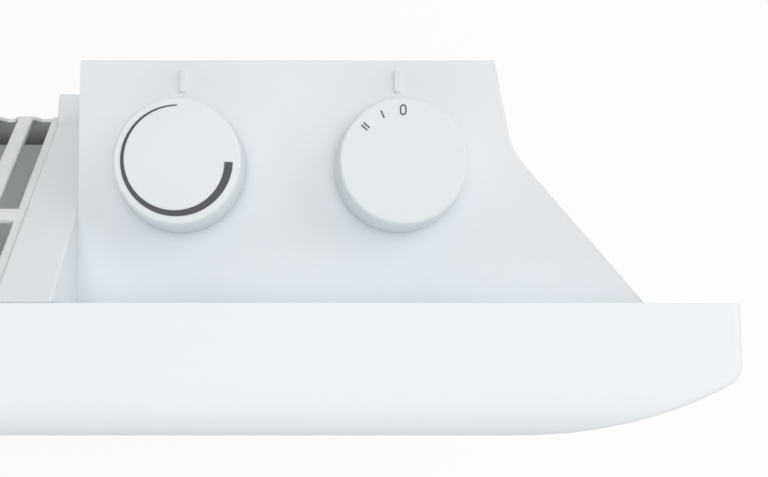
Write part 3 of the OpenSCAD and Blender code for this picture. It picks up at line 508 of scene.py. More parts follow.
def ink(name, tone):
    """Pad print: a slightly uneven film of ink."""
    finish = Finish(name)
    film = finish.noise(5200.0)
    cover = finish.noise(900.0, 3.0)
    return finish.surface({
        "Base Color": finish.blend(cover, scaled(tone, 0.9), scaled(tone, 1.25)),
        "Roughness": 0.5 + (film - 0.5) * 0.2,
        "Normal": finish.relief(film, 0.01, 0.4),
    })


def material_for(slot):
    """The finish of a material slot, made once."""
    if slot in FINISHES:
        return FINISHES[slot]
    tones = bpy.context.scene.heater_colours
    makers = {
        "white_enamel": (enamel, tones.panel, 1300.0, 0.03, 0.46),
        "casing_enamel": (casing_enamel, tones.casing),
        "zinc_sheet": (sheet_metal, (0.84, 0.85, 0.86), 0.4, 180.0),
        "deflector_sheet": (enamel, tones.deflector, 1800.0, 0.05, 0.6),
        "spring_steel": (drawn_metal, (0.36, 0.37, 0.39), 0.32, "x"),
        "screw_steel": (drawn_metal, (0.6, 0.61, 0.63), 0.26, "y"),
        "dark_steel": (drawn_metal, (0.17, 0.165, 0.17), 0.42, "x", 0.9),
        "aluminium": (drawn_metal, (0.66, 0.67, 0.69), 0.38, "x"),
        "white_plastic": (moulded, tones.moulding, 2400.0, 0.04, 0.44),
        "grille_plastic": (moulded, tones.grille, 2400.0, 0.04, 0.46),
        "knob_plastic": (moulded, tones.knob, 2800.0, 0.02, 0.36),
        "cream_plastic": (moulded, (0.68, 0.63, 0.5), 2000.0, 0.05, 0.5),
        "black_plastic": (moulded, (0.03, 0.03, 0.032), 2000.0, 0.06, 0.5),
        "ceramic": (ceramic, (0.74, 0.68, 0.56)),
        "brass": (drawn_metal, (0.66, 0.5, 0.22), 0.3, "z"),
        "copper": (drawn_metal, (0.72, 0.36, 0.22), 0.3, "x"),
        "pad_rubber": (rubber, (0.03, 0.03, 0.032)),
        "brown_insulation": (insulation, (0.16, 0.07, 0.035)),
        "blue_insulation": (insulation, (0.03, 0.12, 0.42)),
        "earth_insulation": (insulation, (0.1, 0.36, 0.08), (0.75, 0.62, 0.05)),
        "print_grey": (ink, tones.ink),
    }
    maker, *values = makers[slot]
    FINISHES[slot] = maker(f"{slot}_finish", *values)
    return FINISHES[slot]


# Meshes

# In degrees: the sharpest angle between faces shaded as one, the least angle of a corner that is
# rounded, and the most that faces joined into one may bend
SMOOTH_ANGLE = 32.0
CORNER_ANGLE = 28.0
FLAT_ANGLE = 0.5

# Points of a node's mesh that are nearer than this are one point
DOUBLES = 0.01 * MM


def add_object(name, data):
    """Link a new object with this mesh, lamp or camera."""
    piece = bpy.data.objects.new(name, data)
    bpy.context.scene.collection.objects.link(piece)
    return piece


def mesh_of(name, shape):
    """Turn a bmesh into a mesh and free it."""
    mesh = bpy.data.meshes.new(name)
    shape.to_mesh(mesh)
    shape.free()
    return mesh


def smoothed(mesh, degrees):
    """Shade a mesh smooth, with sharp edges where its faces meet at more than this angle."""
    mesh.shade_smooth()
    mesh.set_sharp_from_angle(angle=radians(degrees))


def settle(piece, node, body=HEATER):
    """Give a finished piece the material of the node that it stands for, and its body."""
    piece.data.materials.clear()
    piece.data.materials.append(material_for(SLOT_OF[node]))
    for face in piece.data.polygons:
        face.material_index = 0
    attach(piece, body)
    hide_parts(node)


def evaluated_copy(piece, name):
    """A plain mesh object from a piece with modifiers; the piece is removed."""
    graph = bpy.context.evaluated_depsgraph_get()
    mesh = bpy.data.meshes.new_from_object(piece.evaluated_get(graph))
    mesh.name = name
    bpy.data.objects.remove(piece, do_unlink=True)
    return add_object(name, mesh)


def merged_copy(node):
    """A bmesh of a node's shape, with its doubles merged and its flat faces joined."""
    shape = bmesh.new()
    shape.from_mesh(frame["nodes"][node].data)
    bmesh.ops.remove_doubles(shape, verts=shape.verts, dist=DOUBLES)
    bmesh.ops.dissolve_limit(shape, angle_limit=radians(FLAT_ANGLE), verts=shape.verts, edges=shape.edges)
    return shape


def rounded_node(node, picks):
    """Replace a node with a copy whose picked edges are rounded; picks are (width, test) pairs."""
    shape = merged_copy(node)
    for width, test in picks:
        edges = [edge for edge in shape.edges if is_outer_corner(edge) and test(edge)]
        bmesh.ops.bevel(
            shape, geom=edges, offset=width, offset_type="OFFSET", segments=3, profile=0.5,
            affect="EDGES", clamp_overlap=True
        )
    bmesh.ops.recalc_face_normals(shape, faces=shape.faces)
    name = f"{node}_shell"
    piece = add_object(name, mesh_of(name, shape))
    smoothed(piece.data, SMOOTH_ANGLE)
    flatten = piece.modifiers.new("Flat faces", "WEIGHTED_NORMAL")
    flatten.mode = "FACE_AREA"
    flatten.weight = 100
    flatten.keep_sharp = True
    piece = evaluated_copy(piece, name)
    settle(piece, node)
    return piece


def is_outer_corner(edge):
    """Whether two faces meet at this edge in an outward corner."""
    return len(edge.link_faces) == 2 and edge.is_convex and edge.calc_face_angle() > radians(CORNER_ANGLE)


def both_ends(edge, test):
    """Whether both ends of an edge pass a test."""
    return all(test(vertex.co) for vertex in edge.verts)


def middle_of(box):
    """The middle of a box."""
    return (box[0] + box[1]) / 2


# Front panel

# Steps round the upright corner and along the end curve, and points of the section, top to side
CORNER_STEPS = 10
CURVE_STEPS = 20
SECTION_POINTS = 22

# The section is first drawn finely: steps along the roll and round the edge, then spaced evenly
ROLL_STEPS = 40
EDGE_STEPS = 24

# How the edge's middle is found: tries along the roll, how far in they reach in edge radii, halvings
TRIES = 90
TRY_REACH = 1.6
HALVINGS = 26

# The flat top starts this many edge radii in, and at least this far behind the roll
TOP_START = 1.45
TOP_BEHIND = 0.3 * MM

# Where the way in has less of a backward part than this, as on the end face, the roll sets no limit
LEVEL = 0.01


def panel_plan(sizes, low, high):
    """Points round the panel in plan, right lip to left lip, each with its inward direction."""
    run, radius, corner = sizes.end_run, sizes.end_curve, sizes.corner
    centre = Vector((high.x - run, low.y + radius))
    across = run - corner
    back = sqrt((radius - corner) ** 2 - across ** 2)
    corner_centre = centre + Vector((across, -back))
    meet = atan2(-back, across)
    points = []
    for y in (high.y, (high.y + corner_centre.y) / 2):
        points.append((Vector((high.x, y)), Vector((-1, 0))))
    for step in range(CORNER_STEPS + 1):
        turn = meet * step / CORNER_STEPS
        out = Vector((cos(turn), sin(turn)))
        points.append((corner_centre + out * corner, -out))
    for step in range(1, CURVE_STEPS + 1):
        turn = meet + (-pi / 2 - meet) * step / CURVE_STEPS
        out = Vector((cos(turn), sin(turn)))
        points.append((centre + out * radius, -out))
    for part in (0.75, 0.5, 0.25):
        points.append((Vector((centre.x * part, low.y)), Vector((0, 1))))
    mirror = [(Vector((-at.x, at.y)), Vector((-inward.x, inward.y))) for at, inward in points]
    return points + [(Vector((0, low.y)), Vector((0, 1)))] + mirror[::-1]


def panel_section(sizes, low, high, at, inward):
    """The panel's top edge at a plan point: (distance in, height) from the flat top to the side."""
    roll, edge = sizes.roll, sizes.edge
    roll_y = low.y + roll

    def height(inset):
        depth = at.y + inward.y * inset
        if depth >= roll_y:
            return high.z
        return high.z - roll + sqrt(max(roll ** 2 - (depth - roll_y) ** 2, 0.0))

    def nearest(centre_z):
        tries = [edge * TRY_REACH * (step / TRIES) ** 2 for step in range(TRIES + 1)]
        return min((hypot(inset - edge, height(inset) - centre_z), inset) for inset in tries)

    bottom, top = high.z - roll - edge, high.z
    for _ in range(HALVINGS):
        middle = (bottom + top) / 2
        if nearest(middle)[0] >= edge:
            bottom = middle
        else:
            top = middle
    meet = nearest(bottom)[1]
    behind_roll = (roll_y + TOP_BEHIND - at.y) / inward.y if inward.y > LEVEL else 0.0
    start = max(TOP_START * edge, behind_roll)
    curve = [start + (meet - start) * sin(pi / 2 * step / ROLL_STEPS) for step in range(ROLL_STEPS + 1)]
    line = [(inset, height(inset)) for inset in curve]
    turn_from = atan2(height(meet) - bottom, meet - edge)
    for step in range(1, EDGE_STEPS + 1):
        turn = turn_from + (pi - turn_from) * step / EDGE_STEPS
        line.append((edge + edge * cos(turn), bottom + edge * sin(turn)))
    return evenly(line, SECTION_POINTS)


def evenly(line, count):
    """A polyline with its points spaced evenly along it."""
    travelled = [0.0]
    for one, two in zip(line, line[1:]):
        travelled.append(travelled[-1] + hypot(two[0] - one[0], two[1] - one[1]))
    result = []
    place = 0
    for step in range(count):
        target = travelled[-1] * step / (count - 1)
        while place < len(line) - 2 and travelled[place + 1] < target:
            place += 1
        span = travelled[place + 1] - travelled[place]
        part = min(max((target - travelled[place]) / span, 0.0), 1.0) if span > 0 else 0.0
        one, two = line[place], line[place + 1]
        result.append((one[0] + (two[0] - one[0]) * part, one[1] + (two[1] - one[1]) * part))
    return result


def panel_skin(sizes, low, high):
    """The outside of the panel, with flat top and bottom and the ring of its rear flange."""
    shape = bmesh.new()
    both_z = low.z + high.z
    columns = []
    for at, inward in panel_plan(sizes, low, high):
        section = panel_section(sizes, low, high, at, inward)
        rows = section + [(inset, both_z - z) for inset, z in reversed(section)]
        spots = [at + inward * inset for inset, _ in rows]
        columns.append([shape.verts.new((spot.x, spot.y, row[1])) for spot, row in zip(spots, rows)])
    for one, two in zip(columns, columns[1:]):
        for top, below, across_top, across_below in zip(one, one[1:], two, two[1:]):
            shape.faces.new((top, below, across_below, across_top))
    shape.faces.new([column[0] for column in columns])
    shape.faces.new([column[-1] for column in reversed(columns)])
    window_x = high.x - sizes.flange
    window = [
        shape.verts.new((x, high.y, z))
        for x, z in (
            (-window_x, low.z + sizes.flange), (window_x, low.z + sizes.flange),
            (window_x, high.z - sizes.flange_top), (-window_x, high.z - sizes.flange_top),
        )
    ]
    loop = [shape.edges.new((window[side], window[side - 1])) for side in range(4)]
    rim = [edge for edge in shape.edges if edge.is_boundary]
    bmesh.ops.triangle_fill(shape, use_beauty=True, edges=rim + loop)
    bmesh.ops.recalc_face_normals(shape, faces=shape.faces)
    front = min(shape.faces, key=lambda face: face.calc_center_median().y)
    if front.normal.y > 0:
        bmesh.ops.reverse_faces(shape, faces=shape.faces)
    return mesh_of("front_panel_shell", shape)


class HEATER_OT_front_panel(bpy.types.Operator):
    """Press the front panel from sheet: rolled top and bottom, curved ends and soft corners"""

    bl_idname = "heater.front_panel"
    bl_label = "Front panel"

    def execute(self, context):
        sizes = context.scene.heater_panel
        low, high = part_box("front_panel")
        piece = add_object("front_panel_skin", panel_skin(sizes, low, high))
        wall = piece.modifiers.new("Sheet", "SOLIDIFY")
        wall.thickness = sizes.sheet
        wall.offset = -1.0
        wall.use_even_offset = True
        piece = evaluated_copy(piece, "front_panel_shell")
        smoothed(piece.data, SMOOTH_ANGLE)
        settle(piece, "front_panel")
        return {"FINISHED"}


# Plastic mouldings

# An edge nearer than this to a knob's middle belongs to the opening for its shaft
SHAFT_OPENING = 12 * MM

# How much of a seam's gap a cheek's face is taken across
SEAM_SHARE = 0.95


class HEATER_OT_mouldings(bpy.types.Operator):
    """Round the outer edges of the housings, the end cheeks and the feet"""

    bl_idname = "heater.mouldings"
    bl_label = "Mouldings"

    def execute(self, context):
        sizes = context.scene.heater_mouldings
        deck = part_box("left_housing")[1].z
        knob_places = [middle_of(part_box(node)) for node in ("thermostat_knob", "power_knob")]
        inner_sides = (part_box("right_housing")[0].x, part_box("left_housing")[1].x)

        def on_rib(edge):
            return both_ends(edge, lambda spot: spot.z > deck + NEAR)

        def on_rim(edge):
            level = both_ends(edge, lambda spot: abs(spot.z - deck) < NEAR)
            start = edge.verts[0].co.xy
            clear = all((start - place.xy).length > SHAFT_OPENING for place in knob_places)
            return level and clear and not on_inner_side(edge)

        def on_inner_side(edge):
            return any(both_ends(edge, lambda spot, x=x: abs(spot.x - x) < NEAR) for x in inner_sides)

        for side in ("right", "left"):
            housing, cheek, foot = f"{side}_housing", f"{side}_cheek", f"{side}_foot"
            rounded_node(housing, [(sizes.rib, on_rib), (sizes.housing, on_rim)])
            piece = rounded_node(cheek, [(sizes.cheek, self.outside_of(cheek))])
            self.meet(piece, cheek, housing)
            rounded_node(foot, [(sizes.foot, self.outside_of(foot))])
        return {"FINISHED"}

    def meet(self, piece, cheek, housing):
        """Take a cheek's faces nearly up to its housing's wall and to the back of the front panel."""
        side = 1 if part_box(cheek)[1].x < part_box(housing)[1].x else 0
        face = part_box(cheek)[side].x
        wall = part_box(housing)[1 - side].x
        front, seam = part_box(cheek)[0].y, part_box("front_panel")[1].y
        for vertex in piece.data.vertices:
            if abs(vertex.co.x - face) < NEAR:
                vertex.co.x = face + (wall - face) * SEAM_SHARE
            if abs(vertex.co.y - front) < NEAR:
                vertex.co.y = front + (seam - front) * SEAM_SHARE

    def outside_of(self, node):
        """A test for edges on the outer faces of a node."""
        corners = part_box(node)

        def test(edge):
            return any(
                both_ends(edge, lambda spot, axis=axis, corner=corner: abs(spot[axis] - corner[axis]) < NEAR)
                for axis in range(3) for corner in corners
            )
        return test


# Outlet grille

# In degrees: the sharpest angle between faces of the grille shaded as one
GRILLE_SMOOTH_ANGLE = 40.0

# How far the bars and the beams run past the grille's box before they are cut
BARS_BEYOND = 12 * MM
BEAMS_BEYOND = 9 * MM

# Roundings of the crossbar and the front rail, and of the side strips
BEAM_EDGE = 0.5 * MM
STRIP_EDGE = 0.4 * MM

# How far the undersides of the side strips and of the front rail lie above the bars' undersides
STRIP_LESS = 0.1 * MM
RAIL_LESS = 0.4 * MM

# The rim: how far its slope beside a bar runs, how much it rises at the strips, how far its crests
# lie under the bars' tops, and how far its back stays inside the bars' ends
RIM_SLOPE = 1.9 * MM
RIM_RISE = 0.4 * MM
CREST_DROP = 0.15 * MM
RIM_INSET = 0.05 * MM

# The gap between the grille and the back of the front panel
PANEL_GAP = 0.01 * MM

# A point nearer than this to a cutting plane counts as on it
CUT_NEAR = 1e-7


def slope_frame(sizes, low, high):
    """The slope's upper front edge, the way down it, and the way square out of it."""
    down = Vector((0, cos(sizes.slope), -sin(sizes.slope)))
    square = Vector((0, sin(sizes.slope), cos(sizes.slope)))
    return Vector((0, low.y, high.z)), down, square


def grille_tree(sizes, low, high, step, first):
    """Bars down the slope: one rounded bar, repeated across the outlet."""
    tree = Tree("outlet_grille")
    count = tree.input("Bars", "Int", sizes.bars)
    width = tree.input("Bar width", "Float", sizes.bar_width)
    foot_width = tree.input("Bar width below", "Float", sizes.bar_width - 2 * sizes.bar_draft)
    height = tree.input("Bar height", "Float", sizes.bar_height)
    pitch = tree.input("Pitch", "Vector", (step, 0.0, 0.0))
    start = tree.input("First bar", "Vector", (first, 0.0, 0.0))
    origin, down, square = slope_frame(sizes, low, high)
    top = origin - square * sizes.bar_height / 2
    reach = (high.y - low.y) / cos(sizes.slope)
    line = tree.node("GeometryNodeCurvePrimitiveLine", {}, {
        "Start": top - down * BARS_BEYOND,
        "End": top + down * (reach + BARS_BEYOND),
    })
    flat = tree.node("GeometryNodeSetCurveNormal", {"mode": "Z_UP"}, {"Curve": line})
    section = tree.node("GeometryNodeCurvePrimitiveQuadrilateral", {"mode": "TRAPEZOID"}, {
        "Bottom Width": width,
        "Top Width": foot_width,
        "Height": height,
        "Offset": 0.0,
    })
    rounding = {"Curve": section, "Radius": sizes.bar_edge, "Count": 3}
    soft = tree.node("GeometryNodeFilletCurve", {"mode": "POLY"}, rounding)
    sweep = {"Curve": flat, "Profile Curve": soft, "Fill Caps": True}
    bar = tree.node("GeometryNodeCurveToMesh", {}, sweep)
    row = {"Count": count, "Start Location": start, "Offset": pitch}
    places = tree.node("GeometryNodeMeshLine", {}, row)
    return tree, tree.node("GeometryNodeInstanceOnPoints", {}, {"Points": places, "Instance": bar})


def add_beam(shape, slope, across, along, below, edge):
    """A beam in the slope's plane, with rounded upper edges; each range is a pair of distances."""
    origin, down, square = slope
    corners = []
    for x in across:
        for far in along:
            for deep in below:
                spot = origin + down * far - square * deep
                corners.append(shape.verts.new((x, spot.y, spot.z)))
    sides = ((0, 1, 3, 2), (4, 6, 7, 5), (0, 4, 5, 1), (2, 3, 7, 6), (0, 2, 6, 4), (1, 5, 7, 3))
    faces = [shape.faces.new([corners[place] for place in side]) for side in sides]
    bmesh.ops.recalc_face_normals(shape, faces=faces)
    upper = faces[4]
    bmesh.ops.bevel(
        shape, geom=list(upper.edges), offset=edge, segments=2, profile=0.5, affect="EDGES"
    )


def rim_outline(sizes, low, high, step, first):
    """The rear rim's upper line along X: low between the bars, raised to their tops at each bar."""
    top = high.z - (high.y - low.y) * tan(sizes.slope)
    crest = top - CREST_DROP
    floor_z = top - sizes.rim_drop
    end_z = floor_z + RIM_RISE
    half = sizes.bar_width / 2
    line = [(low.x, end_z), (low.x + sizes.strip, end_z)]
    for place in range(sizes.bars):
        middle = first + place * step
        line += [
            (middle - half - RIM_SLOPE, floor_z), (middle - half, crest),
            (middle + half, crest), (middle + half + RIM_SLOPE, floor_z),
        ]
    return line + [(high.x - sizes.strip, end_z), (high.x, end_z)]


def add_rim(shape, outline, near_y, far_y, base_z):
    """A wall along X under an outline, from near_y to far_y."""
    columns = []
    for x, z in outline:
        columns.append([
            shape.verts.new((x, y, height))
            for y, height in ((near_y, base_z), (near_y, z), (far_y, z), (far_y, base_z))
        ])
    faces = []
    for one, two in zip(columns, columns[1:]):
        for side in range(4):
            faces.append(shape.faces.new((one[side - 1], one[side], two[side], two[side - 1])))
    faces.append(shape.faces.new(columns[0]))
    faces.append(shape.faces.new(columns[-1][::-1]))
    bmesh.ops.recalc_face_normals(shape, faces=faces)


def cut_beyond(shape, place, outward):
    """Cut away what lies beyond a plane and close the cut."""
    geometry = list(shape.verts) + list(shape.edges) + list(shape.faces)
    cut = bmesh.ops.bisect_plane(
        shape, geom=geometry, plane_co=place, plane_no=outward, clear_outer=True, dist=CUT_NEAR
    )
    edges = [item for item in cut["geom_cut"] if isinstance(item, bmesh.types.BMEdge)]
    bmesh.ops.holes_fill(shape, edges=edges)


class HEATER_OT_grille(bpy.types.Operator):
    """Mould the outlet grille: bars down the slope, a crossbar, side strips and the rear rim"""

    bl_idname = "heater.grille"
    bl_label = "Outlet grille"

    def execute(self, context):
        sizes = context.scene.heater_grille
        low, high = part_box("outlet_grille")
        step = (high.x - low.x - 2 * sizes.strip - sizes.gap) / sizes.bars
        first = low.x + sizes.strip + sizes.gap + sizes.bar_width / 2
        tree, bars = grille_tree(sizes, low, high, step, first)
        made = tree.build("outlet_grille_bars", bars, material_for(SLOT_OF["outlet_grille"]))
        shape = bmesh.new()
        shape.from_mesh(made.data)
        bpy.data.objects.remove(made, do_unlink=True)
        bmesh.ops.recalc_face_normals(shape, faces=shape.faces)
        self.add_beams(shape, sizes, low, high)
        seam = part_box("front_panel")[1].y + PANEL_GAP
        for place, outward in (
            ((0, seam, 0), (0, -1, 0)), ((0, high.y, 0), (0, 1, 0)),
            ((0, 0, low.z), (0, 0, -1)), ((0, 0, high.z), (0, 0, 1)),
        ):
            cut_beyond(shape, place, outward)
        outline = rim_outline(sizes, low, high, step, first)
        add_rim(shape, outline, high.y - sizes.rim_run, high.y - RIM_INSET, low.z)
        piece = add_object("outlet_grille_bars", mesh_of("outlet_grille_bars", shape))
        smoothed(piece.data, GRILLE_SMOOTH_ANGLE)
        settle(piece, "outlet_grille")
        return {"FINISHED"}

    def add_beams(self, shape, sizes, low, high):
        """The crossbar, the side strips and the front rail."""
        slope = slope_frame(sizes, low, high)
        whole = (low.x, high.x)
        cross = sizes.cross_place / cos(sizes.slope)
        half = sizes.cross_width / 2
        cross_below = (sizes.cross_drop, sizes.cross_depth)
        add_beam(shape, slope, whole, (cross - half, cross + half), cross_below, BEAM_EDGE)
        reach = (high.y - low.y) / cos(sizes.slope) + BEAMS_BEYOND
        strip_below = (sizes.strip_drop, sizes.bar_height - STRIP_LESS)
        for strip in ((low.x, low.x + sizes.strip), (high.x - sizes.strip, high.x)):
            add_beam(shape, slope, strip, (-BEAMS_BEYOND, reach), strip_below, STRIP_EDGE)
        rail_below = (sizes.front_drop, sizes.bar_height - RAIL_LESS)
        add_beam(shape, slope, whole, (-BEAMS_BEYOND, sizes.front_width), rail_below, BEAM_EDGE)


# Screws

# Side of the block that cuts a ball down to the half that stands proud as the head
CUTTER = 20 * MM

# The turn of each screw about its axis is drawn with this seed
SCREW_SEED = 7


def screw_tree(sizes, length, turn):
    """A round-headed cross screw on each point, its head behind the point, each turned its own way."""
    tree = Tree("screws")
    head = tree.input("Head radius", "Float", sizes.head)
    dome = tree.input("Head height", "Float", sizes.dome)
    shank = tree.input("Shank radius", "Float", sizes.shank)
    reach = tree.input("Shank length", "Float", length + sizes.dome / 4)
    across, along, deep = sizes.cross_width, sizes.cross, sizes.cross_depth * 2
    arms = (
        tree.input("Recess length", "Vector", (along, across, deep)),
        tree.input("Recess length across", "Vector", (across, along, deep)),
    )
    facing = tree.input("Facing", "Vector", (turn, 0.0, 0.0))
    ball = tree.node("GeometryNodeMeshUVSphere", {}, {"Segments": 32, "Rings": 16, "Radius": 1.0})
    flat = tree.node("ShaderNodeCombineXYZ", {}, {0: head, 1: head, 2: dome})
    egg = tree.node("GeometryNodeTransform", {}, {"Geometry": ball, "Scale": flat})
    cuts = [tree.moved(tree.block((CUTTER, CUTTER, CUTTER)), (0, 0, CUTTER / 2))]
    cuts += [tree.moved(tree.block(arm), (0, 0, -sizes.dome)) for arm in arms]
    cutter = tree.combined("UNION", {1: cuts})
    cap = tree.combined("DIFFERENCE", {0: egg, 1: cutter})
    rod = tree.node("GeometryNodeMeshCylinder", {}, {"Vertices": 24, "Radius": shank, "Depth": reach})
    rod = tree.moved(rod, (0, 0, length / 2 - sizes.dome / 8))
    screw = tree.combined("UNION", {1: [cap, rod]})
    sockets = {"Points": tree.points(), "Instance": screw, "Rotation": facing}
    screws = tree.node("GeometryNodeInstanceOnPoints", {}, sockets)
    draw = {1: (0, 0, pi), "Seed": SCREW_SEED}
    spin = tree.node("FunctionNodeRandomValue", {"data_type": "FLOAT_VECTOR"}, draw)
    sockets = {"Instances": screws, "Rotation": spin}
    return tree, tree.node("GeometryNodeRotateInstances", {}, sockets)


def boxes_of(node):
    """The lowest and highest corner of each separate shape of a node, in the order of their places."""
    shape = merged_copy(node)
    loose = set(shape.verts)
    found = []
    while loose:
        queue = [loose.pop()]
        group = list(queue)
        while queue:
            for edge in queue.pop().link_edges:
                for vertex in edge.verts:
                    if vertex in loose:
                        loose.discard(vertex)
                        queue.append(vertex)
                        group.append(vertex)
        low = Vector([min(vertex.co[axis] for vertex in group) for axis in range(3)])
        high = Vector([max(vertex.co[axis] for vertex in group) for axis in range(3)])
        found.append((low, high))
    shape.free()
    return sorted(found, key=lambda box: [round(part / MM, 1) for part in box[0]])


class HEATER_OT_screws(bpy.types.Operator):
    """Drive the round-headed cross screws into the casing and the feet"""

    bl_idname = "heater.screws"
    bl_label = "Screws"

    def execute(self, context):
        sizes = context.scene.heater_screws
        self.drive("casing_screws", sizes, pi / 2)
        self.drive("foot_screws", sizes, 0.0)
        return {"FINISHED"}

    def drive(self, node, sizes, turn):
        """Replace a node of screws whose heads look back (turned a quarter) or down (not turned)."""
        spots = []
        for low, high in boxes_of(node):
            spot = (low + high) / 2
            if turn:
                spot.y = high.y - sizes.dome
                length = spot.y - low.y
            else:
                spot.z = low.z + sizes.dome
                length = high.z - spot.z
            spots.append(tuple(spot))
        tree, screws = screw_tree(sizes, length, turn)
        piece = tree.build(f"{node}_crosshead", screws, material_for(SLOT_OF[node]), spots)
        smoothed(piece.data, SMOOTH_ANGLE)
        settle(piece, node)


# Knobs

# Steps round the top edge and the lower edge, points round the knob, and what counts as its axis
TOP_STEPS = 12
FOOT_STEPS = 4
ROUND_STEPS = 160
AXIS = 1e-9


def knob_line(sizes, base_r, low_z, high_z):
    """The knob's section from the middle of its top, round the side and up to the hub."""
    top_r = base_r - sizes.taper
    edge, foot = sizes.edge, sizes.foot
    line = [(0.0, high_z), (top_r * 0.5, high_z)]
    for step in range(TOP_STEPS + 1):
        turn = pi / 2 * (1 - step / TOP_STEPS)
        line.append((top_r - edge + edge * cos(turn), high_z - edge + edge * sin(turn)))
    for step in range(FOOT_STEPS + 1):
        turn = -pi / 2 * step / FOOT_STEPS
        line.append((base_r - foot + foot * cos(turn), low_z + foot + foot * sin(turn)))
    inner = base_r - sizes.wall
    ceiling = high_z - sizes.cap
    hub_low = low_z + sizes.hub_rise
    return line + [
        (inner, low_z), (inner - sizes.taper, ceiling), (sizes.hub, ceiling),
        (sizes.hub, hub_low), (sizes.bore, hub_low), (sizes.bore, ceiling), (0.0, ceiling),
    ]


def lathe(shape, line, centre, steps):
    """Turn a section round an upright axis into a closed shape."""
    turns = [2 * pi * step / steps for step in range(steps)]
    rings = []
    for radius, z in line:
        if radius < AXIS:
            rings.append([shape.verts.new((centre.x, centre.y, z))])
            continue
        ring = [(centre.x + radius * cos(turn), centre.y + radius * sin(turn), z) for turn in turns]
        rings.append([shape.verts.new(spot) for spot in ring])
    for one, two in zip(rings, rings[1:]):
        for k in range(steps):
            after = (k + 1) % steps
            corners = [one[k % len(one)], one[after % len(one)], two[after % len(two)], two[k % len(two)]]
            corners = [corner for place, corner in enumerate(corners) if corner not in corners[:place]]
            if len(corners) > 2:
                shape.faces.new(corners)
    bmesh.ops.recalc_face_normals(shape, faces=shape.faces)


class HEATER_OT_knobs(bpy.types.Operator):
    """Turn the two knobs with a softly rounded top edge and a hollow underside"""

    bl_idname = "heater.knobs"
    bl_label = "Knobs"

    def execute(self, context):
        sizes = context.scene.heater_knobs
        for node, body in (("thermostat_knob", "thermostat_dial"), ("power_knob", "power_dial")):
            low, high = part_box(node)
            shape = bmesh.new()
            line = knob_line(sizes, (high.x - low.x) / 2, low.z, high.z)
            lathe(shape, line, middle_of((low, high)), ROUND_STEPS)
            piece = add_object(f"{node}_cap", mesh_of(f"{node}_cap", shape))
            smoothed(piece.data, SMOOTH_ANGLE)
            settle(piece, node, body)
        return {"FINISHED"}


# Carried-over nodes

class HEATER_OT_plain_parts(bpy.types.Operator):
    """Give every carried-over part the finish of its material slot"""

    bl_idname = "heater.plain_parts"
    bl_label = "Finishes of the other parts"

    def execute(self, context):
        for node, part in frame["nodes"].items():
            if not part.material_slots:
                raise RuntimeError(f"{node} has no material slot")
            for place in part.material_slots:
                place.material = material_for(SLOT_OF[node])
        return {"FINISHED"}


# Studio

WHITE = (1.0, 1.0, 1.0, 1.0)

# Half the floor's side, its cuts, and the distances over which it fades into plain white
FLOOR_HALF = 9.0
FLOOR_CUTS = 7
FLOOR_FADE = (0.6, 5.0)

# Each lamp's azimuth from +X and elevation in degrees, and its width in metres; all aim at one place
LAMPS = {
    "key": (22.0, 22.0, 1.5),
    "front": (-90.0, 26.0, 1.5),
    "top": (0.0, 89.0, 1.1),
    "back": (98.0, 14.0, 1.5),
}
LAMP_AIM = Vector((0.15, 0.0, 0.38))
LAMP_DISTANCE = 1.4

# The camera's place, its tilt in degrees, its lens and sensor in millimetres, its shift and its range
CAMERA_PLACE = (0.20006, -0.03112, 0.64974)
CAMERA_TILT = 3.296
CAMERA_LENS = 42.2
CAMERA_SENSOR = 36.0
CAMERA_SHIFT = (0.1225, 0.075)
CAMERA_RANGE = (0.02, 40.0)


